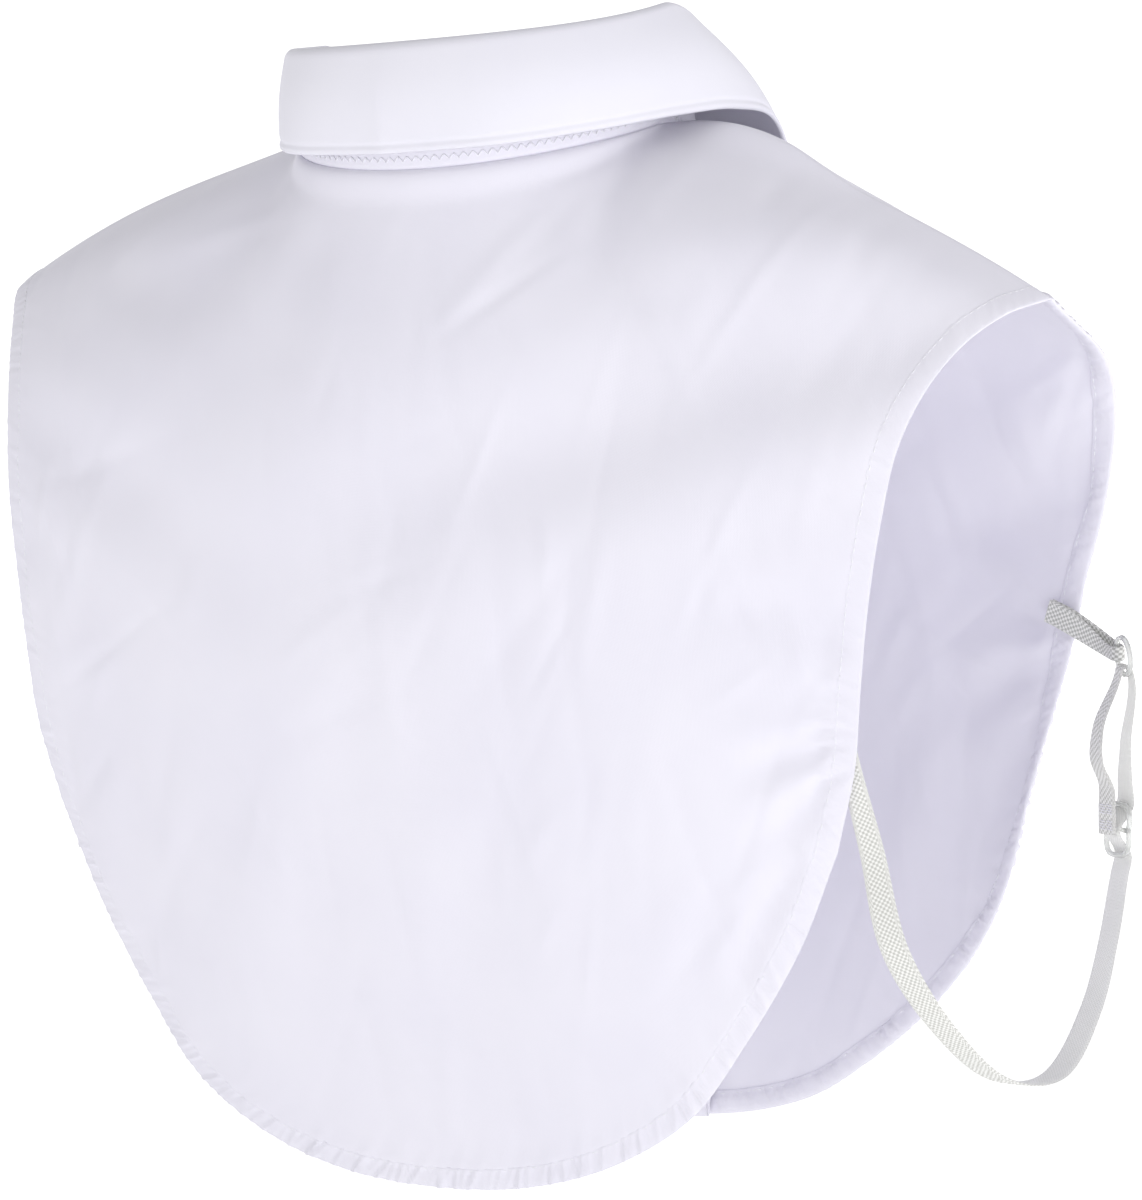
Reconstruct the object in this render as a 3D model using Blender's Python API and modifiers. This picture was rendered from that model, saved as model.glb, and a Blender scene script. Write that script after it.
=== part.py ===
"""Detachable shirt collar: folded collar on a stand, back panel, two buttoned fronts, elastic side straps.

The wearer faces -Y and +Z is up; the wearer's left side is +X.
The origin is the centre of the neck base, level with the side neck points.
The cloth keeps the filled-out form that it has on a wearer.
"""
import math

import bpy
import bmesh
from mathutils import Matrix, Vector

# One millimetre in scene units; every size below is in millimetres
MM = 0.001

# Cloth
CLOTH = 1.2
HEM_CLOTH = 1.8
HEM_WIDTH = 7.5
HEM_STEP = 0.8
PANEL_HALF_WIDTH = 150.0
PANEL_LENGTH = 300.0
SEAM_GAP = 0.3
SEAM_HALF_GAP = 0.75

# Neck ring, where the panels meet the collar stand
NECK_HALF_WIDTH = 61.0
NECK_BACK_DEPTH = 67.0
NECK_FRONT_DEPTH = 75.0
NECK_BACK_LEVEL = -2.0
NECK_FRONT_DROP = 55.0
SIDE_NECK_LEVEL = 0.5
NECK_DROP_POWER = 1.3
NECK_LEAN = 0.03

# Shoulder seam
SHOULDER_HALF = 185.0
SHOULDER_TIP_DEPTH = -8.0
SHOULDER_DROP = 52.5
SHOULDER_BOW = 4.5
RIGHT_SHOULDER_FULLNESS = 1.5
NECK_SHARE = 0.43

# Collar stand and the fold line of the fall
STAND_CLOTH = 1.6
STAND_HALF_WIDTH = 59.5
STAND_BACK_DEPTH = 64.5
STAND_FRONT_DEPTH = 67.0
STAND_BACK_LEVEL = 30.0
STAND_FRONT_LEVEL = -31.0
STAND_DROP_POWER = 1.5
STAND_SIDE_DIP = 3.0
LEFT_STAND_DIP = 1.5
COLLAR_LEAN = 0.075
STAND_END = 188.0
STAND_LAP_OFFSET = 1.2

# Collar fall
FALL_CLOTH = 1.4
FALL_END = 170.0
FALL_RISE = 3.5
FOLD_RADIUS = 3.0
FALL_BULGE_LEFT = 1.0
FALL_BULGE_RIGHT = 2.8
FALL_EDGE_LEAN = 0.05
LEFT_FOLD_TUCK = 2.8
LEFT_FALL_TUCK = 9.5
RIGHT_FOLD_SPREAD = 3.5

# Front closing
LAP_HALF = 15.0
LAP_FOLD = 11.0
LAP_TUCK = 3.1
LAP_TUCK_REACH = 34.0
BUTTON_RADIUS = 5.6
BUTTON_THICKNESS = 2.4
BUTTON_RIM = 1.3
BUTTON_HOLE_RADIUS = 0.8
BUTTON_HOLE_OFFSET = 1.95
STAND_BUTTON_RADIUS = 5.0
FRONT_BUTTON_LEVELS = (-100.0, -162.0, -224.0, -286.0)

# Elastic strap and its plastic ring and slider
STRAP_WIDTH = 9.0
STRAP_THICKNESS = 1.0
STRAP_WIDTH_AT_RING = 5.6
TAB_WIDTH = 8.0
TAB_WIDTH_AT_RING = 4.8
PATH_SPACING = 5.0
RING_RADIUS = 6.0
RING_WIRE = 0.9
RING_HEADING = 46.0
SLIDER_WIDTH = 13.5
SLIDER_HEIGHT = 18.0
SLIDER_BAR = 0.9
SLIDER_HEADING = 30.0
RING_CENTRE = (183.0, -52.5, -176.5)
SLIDER_CENTRE = (182.5, -42.0, -230.5)

# Edge of the back panel from the shoulder tip to the lower corner: share, half width, depth, level
BACK_EDGE = (
    (0.00, 185.0, -8.0, -52.5),
    (0.11, 178.0, 12.0, -54.0),
    (0.20, 170.5, 27.0, -60.5),
    (0.29, 164.0, 41.0, -71.5),
    (0.38, 159.0, 52.5, -86.5),
    (0.49, 155.5, 61.0, -108.5),
    (0.61, 152.0, 66.0, -133.0),
    (0.74, 149.0, 69.0, -159.0),
    (0.87, 146.0, 70.5, -184.0),
    (1.00, 139.0, 71.5, -210.0),
)

# Lower hem of the back panel from the corner to the middle: share, half width, depth, level
BACK_HEM = (
    (0.00, 139.0, 71.5, -210.0),
    (0.18, 125.5, 74.5, -241.0),
    (0.36, 107.0, 79.0, -271.0),
    (0.52, 88.5, 83.0, -295.0),
    (0.68, 62.0, 86.5, -311.5),
    (0.84, 32.0, 88.5, -320.5),
    (1.00, 0.0, 89.0, -323.0),
    (1.16, -32.0, 88.5, -320.5),
)

# Middle of the back panel: share, depth, level
BACK_MIDDLE = (
    (0.00, 67.0, -2.0),
    (0.07, 75.5, -25.0),
    (0.15, 85.0, -50.0),
    (0.24, 93.0, -80.0),
    (0.33, 98.5, -110.0),
    (0.48, 101.5, -160.0),
    (0.64, 100.5, -210.0),
    (0.82, 96.0, -268.0),
    (1.00, 89.0, -323.0),
)

# Back panel below the side neck point: share, depth, level
BACK_SIDE_NECK = (
    (0.00, 0.0, 0.5),
    (0.06, 22.0, -5.0),
    (0.13, 43.0, -16.0),
    (0.20, 59.0, -33.0),
    (0.28, 73.0, -57.0),
    (0.38, 85.0, -88.0),
    (0.48, 91.5, -122.0),
    (0.60, 94.5, -163.0),
    (0.73, 94.0, -207.0),
    (0.87, 90.0, -255.0),
    (1.00, 84.0, -300.0),
)

# Edge of a front from the shoulder tip to the lower corner: share, half width, depth, level
FRONT_EDGE = (
    (0.00, 185.0, -8.0, -52.5),
    (0.05, 184.8, -16.0, -57.5),
    (0.13, 184.0, -31.5, -66.5),
    (0.22, 183.0, -47.5, -76.0),
    (0.29, 181.5, -58.5, -85.5),
    (0.35, 179.5, -65.5, -95.5),
    (0.47, 174.5, -70.5, -120.0),
    (0.56, 170.0, -70.5, -138.0),
    (0.65, 165.0, -68.0, -155.5),
    (0.74, 161.0, -65.5, -174.0),
    (0.82, 157.5, -61.0, -189.5),
    (0.92, 153.5, -53.0, -208.0),
    (1.00, 149.5, -48.0, -224.0),
)

# Lower hem of a front from the corner to the middle: share, half width, depth, level
FRONT_HEM = (
    (0.00, 149.5, -48.0, -224.0),
    (0.15, 142.0, -44.5, -252.0),
    (0.31, 128.5, -46.0, -276.0),
    (0.46, 110.0, -48.5, -297.0),
    (0.62, 84.0, -54.0, -318.5),
    (0.77, 56.0, -62.0, -336.0),
    (0.90, 24.0, -71.5, -346.5),
    (1.00, 0.0, -74.0, -349.0),
    (1.10, -24.0, -71.5, -346.5),
)

# Middle of the fronts: share, depth, level
FRONT_MIDDLE = (
    (0.00, -75.0, -55.0),
    (0.08, -87.0, -77.0),
    (0.17, -97.0, -103.0),
    (0.30, -104.0, -140.0),
    (0.43, -106.0, -180.0),
    (0.58, -102.0, -225.0),
    (0.73, -94.0, -270.0),
    (0.87, -84.0, -311.0),
    (1.00, -74.0, -349.0),
)

# Front below the side neck point: share, depth, level
FRONT_SIDE_NECK = (
    (0.00, 0.0, 0.5),
    (0.06, -22.0, -8.0),
    (0.13, -41.0, -24.0),
    (0.20, -57.0, -45.0),
    (0.28, -71.0, -71.0),
    (0.38, -82.0, -103.0),
    (0.50, -89.0, -142.0),
    (0.62, -89.5, -182.0),
    (0.75, -83.0, -226.0),
    (0.88, -71.0, -272.0),
    (1.00, -56.5, -317.0),
)

# How much the cloth of the right shoulder rises under the collar: share along the shoulder, rise
RIGHT_SHOULDER_RISE = (
    (0.00, 0.0),
    (0.11, 5.0),
    (0.22, 7.6),
    (0.32, 7.2),
    (0.42, 3.6),
    (0.52, 0.6),
    (0.60, 0.0),
    (1.00, 0.0),
)

# Lower edge of the collar fall: bearing from the middle of the back, half width, depth, level
FALL_EDGE = (
    (0.0, 0.0, 72.5, 4.5),
    (30.0, 36.5, 63.5, 4.5),
    (60.0, 62.0, 39.0, 4.5),
    (80.0, 75.5, 14.0, 4.0),
    (95.0, 82.0, -6.0, 2.0),
    (110.0, 85.0, -27.0, -5.0),
    (125.0, 79.5, -49.0, -26.0),
    (140.0, 70.0, -69.0, -49.0),
    (155.0, 57.0, -84.0, -66.0),
    (170.0, 40.0, -94.5, -80.0),
)

# Sewn start of the strap on the inner face of the back panel: share across, share down, slack
STRAP_START = (
    (0.940, 0.75, 0.2),
    (0.955, 0.79, 0.3),
    (0.975, 0.84, 0.9),
)

# Sewn start of the tab on the inner face of a front: share across, slack
TAB_SHARE_DOWN = 0.74
TAB_SLOPE = -0.38
TAB_START = (
    (0.935, 0.15),
    (0.980, 0.5),
)

# Elastic straps from the back edge down and round to the slider: half width, depth, level, heading
# of the width; the right strap bows outwards, the left one hangs inwards under the panels
STRAP_ROUTE_RIGHT = (
    (149.0, 68.0, -209.0, -14.0),
    (156.0, 71.0, -239.0, -8.0),
    (166.0, 59.5, -268.0, -3.0),
    (174.0, 37.0, -290.0, 2.0),
    (180.0, 11.0, -295.5, 8.0),
    (183.0, -12.0, -281.0, 20.0),
    (183.5, -28.0, -262.0, 28.0),
)

STRAP_ROUTE_LEFT = (
    (136.0, 64.0, -210.0, -14.0),
    (127.0, 61.0, -240.0, -8.0),
    (116.0, 49.0, -268.0, -3.0),
    (110.0, 30.0, -287.0, 0.0),
    (113.0, 8.0, -291.0, 3.0),
    (132.0, -10.0, -276.0, 10.0),
    (165.0, -27.0, -250.0, 20.0),
)

# Passes of the strap through the slider and up to the ring: level from the slider centre,
# sideways offset, width
SLIDER_PASS = (
    (-14.0, 1.4, 9.0),
    (-8.1, 2.5, 9.0),
    (0.0, -2.5, 9.0),
    (8.1, 2.4, 9.0),
    (16.0, 1.8, 8.4),
    (26.0, 1.4, 7.2),
)

# Second strand of the strap, from the ring back to the slider: level from the slider centre,
# sideways offset, width
RETURN_PASS = (
    (31.0, -8.6, 7.6),
    (22.0, -9.0, 8.4),
    (13.0, -5.0, 9.0),
    (6.5, -4.7, 9.0),
    (-1.5, -4.2, 9.0),
)


# Helpers for tables and curves

def read_table(rows, place):
    """Smooth value of each column at a place along the first column."""
    last = len(rows) - 1
    place = min(max(place, rows[0][0]), rows[last][0])
    index = 0
    while index < last - 1 and place > rows[index + 1][0]:
        index += 1
    start, end = rows[index], rows[index + 1]
    span = end[0] - start[0]
    t = (place - start[0]) / span

    def slope(i, column):
        if i == 0:
            return (rows[1][column] - rows[0][column]) / (rows[1][0] - rows[0][0])
        if i == last:
            return (rows[last][column] - rows[last - 1][column]) / (rows[last][0] - rows[last - 1][0])
        before = (rows[i][column] - rows[i - 1][column]) / (rows[i][0] - rows[i - 1][0])
        after = (rows[i + 1][column] - rows[i][column]) / (rows[i + 1][0] - rows[i][0])
        share = (rows[i][0] - rows[i - 1][0]) / (rows[i + 1][0] - rows[i - 1][0])
        return before * (1.0 - share) + after * share

    values = []
    for column in range(1, len(start)):
        a, b = start[column], end[column]
        ma, mb = slope(index, column) * span, slope(index + 1, column) * span
        h = t * t * (3.0 - 2.0 * t)
        values.append(a * (1.0 - h) + b * h + ma * t * (1.0 - t) ** 2 - mb * t * t * (1.0 - t))
    return values


def blend(a, b, t):
    """Straight mix of two points or numbers."""
    return a + (b - a) * t


def ease(t):
    """Smooth step from 0 to 1."""
    t = min(max(t, 0.0), 1.0)
    return t * t * (3.0 - 2.0 * t)


def ring_point(bearing, half_width, depths, levels, power, lean):
    """Point on an oval ring round the neck, a little higher on the wearer's right.

    The bearing runs from the middle of the back; depths are back and front, levels back, side and front.
    """
    c = math.cos(math.radians(bearing))
    x = half_width * math.sin(math.radians(bearing))
    back_level, side_level, front_level = levels
    if c >= 0.0:
        return Vector((x, depths[0] * c, blend(side_level, back_level, c * c) - lean * x))
    return Vector((x, depths[1] * c, blend(side_level, front_level, (-c) ** power) - lean * x))


def neck_point(bearing, lean=NECK_LEAN):
    """Neck seam at a bearing."""
    depths = (NECK_BACK_DEPTH, NECK_FRONT_DEPTH)
    levels = (NECK_BACK_LEVEL, SIDE_NECK_LEVEL, -NECK_FRONT_DROP)
    return ring_point(bearing, NECK_HALF_WIDTH, depths, levels, NECK_DROP_POWER, lean)


def stand_top_point(bearing):
    """Top edge of the collar stand at a bearing."""
    depths = (STAND_BACK_DEPTH, STAND_FRONT_DEPTH)
    levels = (STAND_BACK_LEVEL, STAND_BACK_LEVEL - STAND_SIDE_DIP, STAND_FRONT_LEVEL)
    point = ring_point(bearing, STAND_HALF_WIDTH, depths, levels, STAND_DROP_POWER, COLLAR_LEAN)
    point.z -= LEFT_STAND_DIP * max(0.0, math.sin(math.radians(bearing))) ** 4
    return point


def shoulder_point(share, half_gap):
    """Shoulder seam from the side neck point (0) to the tip (1)."""
    start = Vector((NECK_HALF_WIDTH, 0.0, SIDE_NECK_LEVEL))
    end = Vector((SHOULDER_HALF, SHOULDER_TIP_DEPTH, -SHOULDER_DROP))
    point = blend(start, end, share)
    point.z += SHOULDER_BOW * math.sin(math.pi * share) * (0.4 + 1.2 * share)
    point.y += half_gap
    return point


# The two cloth surfaces that the panels are cut from

def top_edge(across, bearing_middle, half_gap):
    """Top boundary of a panel: neck curve, then shoulder seam."""
    if across <= NECK_SHARE:
        return neck_point(blend(bearing_middle, 90.0, across / NECK_SHARE), 0.0)
    return shoulder_point((across - NECK_SHARE) / (1.0 - NECK_SHARE), half_gap)


def panel_point(across, down, tables, bearing_middle, half_gap):
    """Outer face of a panel; across is -1..1 from edge to edge, down is 0..1 from seam to hem."""
    side = -1.0 if across < 0.0 else 1.0
    share = abs(across)
    edge, hem, middle, side_neck = tables
    top = top_edge(share, bearing_middle, half_gap)
    low = Vector(read_table(hem, 1.0 - share))
    point = blend(top, low, down)

    tip = Vector(edge[0][1:])
    corner = Vector(edge[-1][1:])
    edge_bulge = Vector(read_table(edge, down)) - blend(tip, corner, down)
    middle_top, middle_low = Vector((0.0,) + middle[0][1:]), Vector((0.0,) + middle[-1][1:])
    middle_bulge = Vector([0.0] + read_table(middle, down)) - blend(middle_top, middle_low, down)
    neck_top = Vector((0.0,) + side_neck[0][1:])
    neck_low = Vector((0.0,) + side_neck[-1][1:])
    neck_bulge = Vector([0.0] + read_table(side_neck, down)) - blend(neck_top, neck_low, down)

    if share <= NECK_SHARE:
        bulge = blend(middle_bulge, neck_bulge, 1.0 - math.cos(math.pi / 2.0 * share / NECK_SHARE))
    else:
        beyond = (share - NECK_SHARE) / (1.0 - NECK_SHARE)
        bulge = blend(neck_bulge, edge_bulge, 0.6 * beyond + 0.4 * beyond * beyond)
    point.y += bulge.y
    point.z += bulge.z
    point.x += edge_bulge.x * share ** 2.5

    beyond = max(0.0, (share - NECK_SHARE) / (1.0 - NECK_SHARE))
    fade = (1.0 - down) ** 2
    point.z -= side * NECK_LEAN * min(point.x, NECK_HALF_WIDTH) * (1.0 - beyond) * fade
    if side < 0.0:
        point.z += RIGHT_SHOULDER_FULLNESS * math.sin(math.pi * beyond ** 0.7) * fade * fade
        point.z += read_table(RIGHT_SHOULDER_RISE, beyond)[0] * (1.0 - down) ** 7
    point.x *= side
    return point


def back_point(across, down):
    """Outer face of the back panel."""
    tables = (BACK_EDGE, BACK_HEM, BACK_MIDDLE, BACK_SIDE_NECK)
    return panel_point(across, down, tables, 0.0, SEAM_HALF_GAP)


def front_point(across, down):
    """Outer face of the fronts, taken as one surface."""
    tables = (FRONT_EDGE, FRONT_HEM, FRONT_MIDDLE, FRONT_SIDE_NECK)
    return panel_point(across, down, tables, 180.0, -SEAM_HALF_GAP)


def inner_point(place, across, down, depth):
    """Point inside a panel at a depth under its outer face, and the heading of the row there."""
    point = place(across, down)
    row = place(across + 0.01, down) - place(across - 0.01, down)
    column = place(across, down + 0.01) - place(across, down - 0.01)
    inward = row.cross(column).normalized()
    if inward.dot(Vector((0.0, point.y, 0.0))) > 0.0:
        inward = -inward
    return point + inward * depth, math.degrees(math.atan2(row.y, row.x))


def front_share_at(x, down):
    """Share across the fronts at which a row reaches a given x."""
    low, high = -0.4, 0.4
    for _ in range(30):
        middle = (low + high) / 2.0
        if front_point(middle, down).x < x:
            low = middle
        else:
            high = middle
    return (low + high) / 2.0


def front_left_point(across, down):
    """Left front: tucked in under the right one near the middle."""
    point = front_point(across, down)
    reach = (point.x - LAP_HALF) / LAP_TUCK_REACH
    point.y += LAP_TUCK * (1.0 - ease(reach))
    return point


# Object makers

def material(name, colour, roughness, sheen=0.0, transmission=0.0):
    """Principled material of one sub-part."""
    made = bpy.data.materials.new(name)
    made.use_nodes = True
    shader = made.node_tree.nodes["Principled BSDF"]
    shader.inputs["Base Color"].default_value = (*colour, 1.0)
    shader.inputs["Roughness"].default_value = roughness
    shader.inputs["Metallic"].default_value = 0.0
    shader.inputs["Sheen Weight"].default_value = sheen
    shader.inputs["Transmission Weight"].default_value = transmission
    made.diffuse_color = (*colour, 1.0)
    return made


def add_object(name, bm, collection, surface):
    """Turn a bmesh into a smooth-shaded object of the collection."""
    mesh = bpy.data.meshes.new(name)
    bm.to_mesh(mesh)
    bm.free()
    mesh.shade_smooth()
    mesh.set_sharp_from_angle(angle=math.radians(40.0))
    mesh.materials.append(surface)
    made = bpy.data.objects.new(name, mesh)
    collection.objects.link(made)
    return made


def sheet(name, columns, rows, place, thickness, collection, surface, side=-1.0, thin=None, thick_at=None):
    """Cloth piece: a grid laid on a surface and given its wall by Solidify.

    columns and rows are lists of shares; thick_at(column, row) tells where the hem is folded double.
    """
    bm = bmesh.new()
    bmesh.ops.create_grid(bm, x_segments=len(columns) - 1, y_segments=len(rows) - 1, size=1.0)
    doubled = []
    for vertex in bm.verts:
        i = round((vertex.co.x + 1.0) / 2.0 * (len(columns) - 1))
        j = round((vertex.co.y + 1.0) / 2.0 * (len(rows) - 1))
        vertex.co = place(columns[i], rows[j]) * MM
        if thick_at is not None and thick_at(i, j):
            doubled.append(vertex.index)
    made = add_object(name, bm, collection, surface)
    wall = made.modifiers.new("wall", "SOLIDIFY")
    wall.thickness = thickness * MM
    wall.offset = side
    wall.use_even_offset = True
    if thick_at is not None:
        group = made.vertex_groups.new(name="hem")
        group.add(doubled, 1.0, "REPLACE")
        wall.vertex_group = "hem"
        wall.thickness_vertex_group = thin / thickness
    return made


def spread(start, end, count):
    """Even shares from start to end."""
    return [blend(start, end, k / (count - 1)) for k in range(count)]


def panel_shares(count, first_hem, last_hem, first, last, width):
    """Shares across or down a panel, with two close lines where a hem is stitched down."""
    inner_first, inner_last = first, last
    shares = []
    if first_hem:
        shares += [first, first + first_hem]
        inner_first = first + first_hem + width
    if last_hem:
        inner_last = last - last_hem - width
    shares += spread(inner_first, inner_last, count)
    if last_hem:
        shares += [last - last_hem, last]
    return shares


def ribbon(name, points, headings, widths, thickness, collection, surface):
    """Flat band swept along points; headings are the directions of its width."""
    bm = bmesh.new()
    bmesh.ops.create_grid(bm, x_segments=1, y_segments=len(points) - 1, size=1.0)
    for vertex in bm.verts:
        row = round((vertex.co.y + 1.0) / 2.0 * (len(points) - 1))
        across = vertex.co.x
        vertex.co = (points[row] + headings[row] * (across * widths[row] / 2.0)) * MM
    made = add_object(name, bm, collection, surface)
    wall = made.modifiers.new("wall", "SOLIDIFY")
    wall.thickness = thickness * MM
    wall.offset = 0.0
    wall.use_even_offset = True
    return made


def smooth_path(rows, spacing):
    """Smooth curve through table rows whose first three columns are a point, kept at every row."""
    length = 0.0
    stations = [(0.0,) + tuple(rows[0])]
    for before, after in zip(rows, rows[1:]):
        length += (Vector(after[:3]) - Vector(before[:3])).length
        stations.append((length,) + tuple(after))
    path = [read_table(stations, 0.0)]
    for before, after in zip(stations, stations[1:]):
        steps = max(1, math.ceil((after[0] - before[0]) / spacing))
        for k in range(1, steps + 1):
            path.append(read_table(stations, blend(before[0], after[0], k / steps)))
    return path


def heading_vector(degrees, side):
    """Level unit vector at an angle from the wearer's side."""
    angle = math.radians(degrees)
    return Vector((math.cos(angle) * side, math.sin(angle), 0.0))


# The strap with its ring, slider and tab

def slider_line(side):
    """Slider centre, the direction from it to the foot of the ring, and the distance between them."""
    slider = Vector((SLIDER_CENTRE[0] * side, SLIDER_CENTRE[1], SLIDER_CENTRE[2]))
    low = Vector((RING_CENTRE[0] * side, RING_CENTRE[1], RING_CENTRE[2] - RING_RADIUS))
    return slider, (low - slider).normalized(), (low - slider).length


def strap_rows(route):
    """Whole path of one strap on the +X side: point, heading and width at each row."""
    rows = []
    depth = HEM_CLOTH + SEAM_GAP + 0.15 + STRAP_THICKNESS / 2.0
    for across, down, slack in STRAP_START:
        point, heading = inner_point(back_point, across, down, depth + slack)
        rows.append((*point, heading, STRAP_WIDTH))
    rows += [row + (STRAP_WIDTH,) for row in route]
    slider, rise, reach = slider_line(1.0)
    low = Vector(RING_CENTRE) - Vector((0.0, 0.0, RING_RADIUS))

    def place(level, offset, width):
        heading = blend(SLIDER_HEADING, RING_HEADING, ease(level / reach))
        sideways = rise.cross(heading_vector(heading, 1.0)).normalized()
        point = slider + rise * level - sideways * offset
        return (*point, heading, width)

    for level, offset, width in SLIDER_PASS:
        rows.append(place(level, offset, width))
    turn = RING_WIRE + STRAP_THICKNESS / 2.0 + 0.45
    sideways = heading_vector(RING_HEADING - 90.0, 1.0)
    for k in range(7):
        angle = math.pi * k / 6.0
        point = low + sideways * (turn * math.cos(angle))
        point.z += 0.95 + turn * math.sin(angle)
        rows.append((*point, RING_HEADING, STRAP_WIDTH_AT_RING))
    for level, offset, width in RETURN_PASS:
        rows.append(place(level, offset, width))
    return rows


def tab_rows():
    """Folded tab on the +X side, from inside the front edge round the ring and back."""
    through = heading_vector(RING_HEADING, 1.0)
    cross = Vector((-through.y, through.x, 0.0))
    centre = Vector(RING_CENTRE) - through * (RING_RADIUS - 0.95)
    turn = RING_WIRE + STRAP_THICKNESS / 2.0 + 0.45
    depth = HEM_CLOTH + SEAM_GAP + 0.15 + STRAP_THICKNESS / 2.0
    layers = []
    for sign, layer_depth in ((-1.0, depth), (1.0, depth + STRAP_THICKNESS + SEAM_GAP + 0.1)):
        layer = []
        for across, slack in TAB_START:
            point, _ = inner_point(front_point, across, TAB_SHARE_DOWN, layer_depth + slack)
            point.z = RING_CENTRE[2] + (point.x - RING_CENTRE[0]) * TAB_SLOPE
            layer.append((*point, TAB_WIDTH))
        layer.append((*(centre - through * 3.0 + cross * (sign * turn)), TAB_WIDTH_AT_RING))
        layers.append(layer)
    bend = []
    for k in range(7):
        angle = -math.pi / 2.0 + math.pi * k / 6.0
        point = centre + through * (turn * math.cos(angle)) + cross * (turn * math.sin(angle))
        bend.append((*point, TAB_WIDTH_AT_RING))
    return layers[0] + bend + layers[1][::-1]


def make_slider(name, side, collection, surface):
    """Slider shaped like a figure eight: a rounded frame with a bar across its middle."""
    half_width = SLIDER_WIDTH / 2.0
    half_height = SLIDER_HEIGHT / 2.0
    bm = bmesh.new()
    bar = SLIDER_BAR * 2.0
    window = (SLIDER_HEIGHT - 3.0 * bar) / 2.0
    xs = (-half_width, -half_width + bar, half_width - bar, half_width)
    zs = (-half_height, -half_height + bar, -half_height + bar + window,
          -half_height + 2.0 * bar + window, half_height - bar, half_height)
    bmesh.ops.create_grid(bm, x_segments=3, y_segments=5, size=1.0)
    windows = []
    for face in bm.faces:
        i = int((face.calc_center_median().x + 1.0) / 2.0 * 3)
        j = int((face.calc_center_median().y + 1.0) / 2.0 * 5)
        if i == 1 and j in (1, 3):
            windows.append(face)
    for vertex in bm.verts:
        i = round((vertex.co.x + 1.0) / 2.0 * 3)
        j = round((vertex.co.y + 1.0) / 2.0 * 5)
        vertex.co = Vector((xs[i], 0.0, zs[j])) * MM
    bmesh.ops.delete(bm, geom=windows, context="FACES_ONLY")
    made = add_object(name, bm, collection, surface)
    wall = made.modifiers.new("wall", "SOLIDIFY")
    wall.thickness = bar * MM
    wall.offset = 0.0
    rounding = made.modifiers.new("rounding", "BEVEL")
    rounding.width = 0.5 * MM
    rounding.segments = 2
    rounding.limit_method = "ANGLE"
    rounding.angle_limit = math.radians(40.0)
    centre, rise, _ = slider_line(side)
    width = heading_vector(SLIDER_HEADING, side)
    width = (width - rise * width.dot(rise)).normalized()
    turned = Matrix((width, rise.cross(width), rise)).transposed()
    made.location = centre * MM
    made.rotation_euler = turned.to_euler()
    return made


def make_ring(name, side, collection, surface):
    """Round plastic ring standing upright."""
    curve = bpy.data.curves.new(name, "CURVE")
    curve.dimensions = "3D"
    spline = curve.splines.new("POLY")
    count = 28
    spline.points.add(count - 1)
    for k in range(count):
        angle = 2.0 * math.pi * k / count
        spline.points[k].co = (math.cos(angle) * RING_RADIUS * MM, 0.0, math.sin(angle) * RING_RADIUS * MM, 1.0)
    spline.use_cyclic_u = True
    curve.bevel_depth = RING_WIRE * MM
    curve.bevel_resolution = 2
    curve.materials.append(surface)
    made = bpy.data.objects.new(name, curve)
    collection.objects.link(made)
    centre = Vector(RING_CENTRE)
    made.location = Vector((centre.x * side, centre.y, centre.z)) * MM
    made.rotation_euler = (0.0, 0.0, math.radians(RING_HEADING) * side)
    return made


def make_strap_set(label, side, route, collection, elastic, plastic):
    """Strap, tab, ring and slider of one side."""
    rows = smooth_path(strap_rows(route), PATH_SPACING)
    points = [Vector((row[0] * side, row[1], row[2])) for row in rows]
    headings = [heading_vector(row[3], 1.0) for row in rows]
    for heading in headings:
        heading.x *= side
    widths = [row[4] for row in rows]
    ribbon("strap_" + label, points, headings, widths, STRAP_THICKNESS, collection, elastic)

    rows = smooth_path(tab_rows(), PATH_SPACING)
    points = [Vector((row[0] * side, row[1], row[2])) for row in rows]
    upright = [Vector((0.0, 0.0, 1.0))] * len(points)
    ribbon("strap_tab_" + label, points, upright, [row[3] for row in rows], STRAP_THICKNESS,
           collection, elastic)
    make_ring("ring_" + label, side, collection, plastic)
    make_slider("slider_" + label, side, collection, plastic)


# Collar

def stand_point(bearing, height):
    """Outer face of the stand; bearing runs past the middle of the front on both sides."""
    low = neck_point(bearing)
    top = stand_top_point(bearing)
    rise = (top - low).normalized()
    outward = Vector((low.x, low.y, 0.0)).normalized()
    lap = ease((abs(bearing) - 150.0) / 26.0)
    low = low + rise * (SEAM_GAP + 0.2 + 1.7 * lap) - outward * SEAM_GAP
    point = blend(low, top, height)
    point += outward * (1.2 * math.sin(math.pi * height))
    step = -STAND_LAP_OFFSET if bearing > 0.0 else STAND_LAP_OFFSET
    return point + outward * (step * lap)


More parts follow.
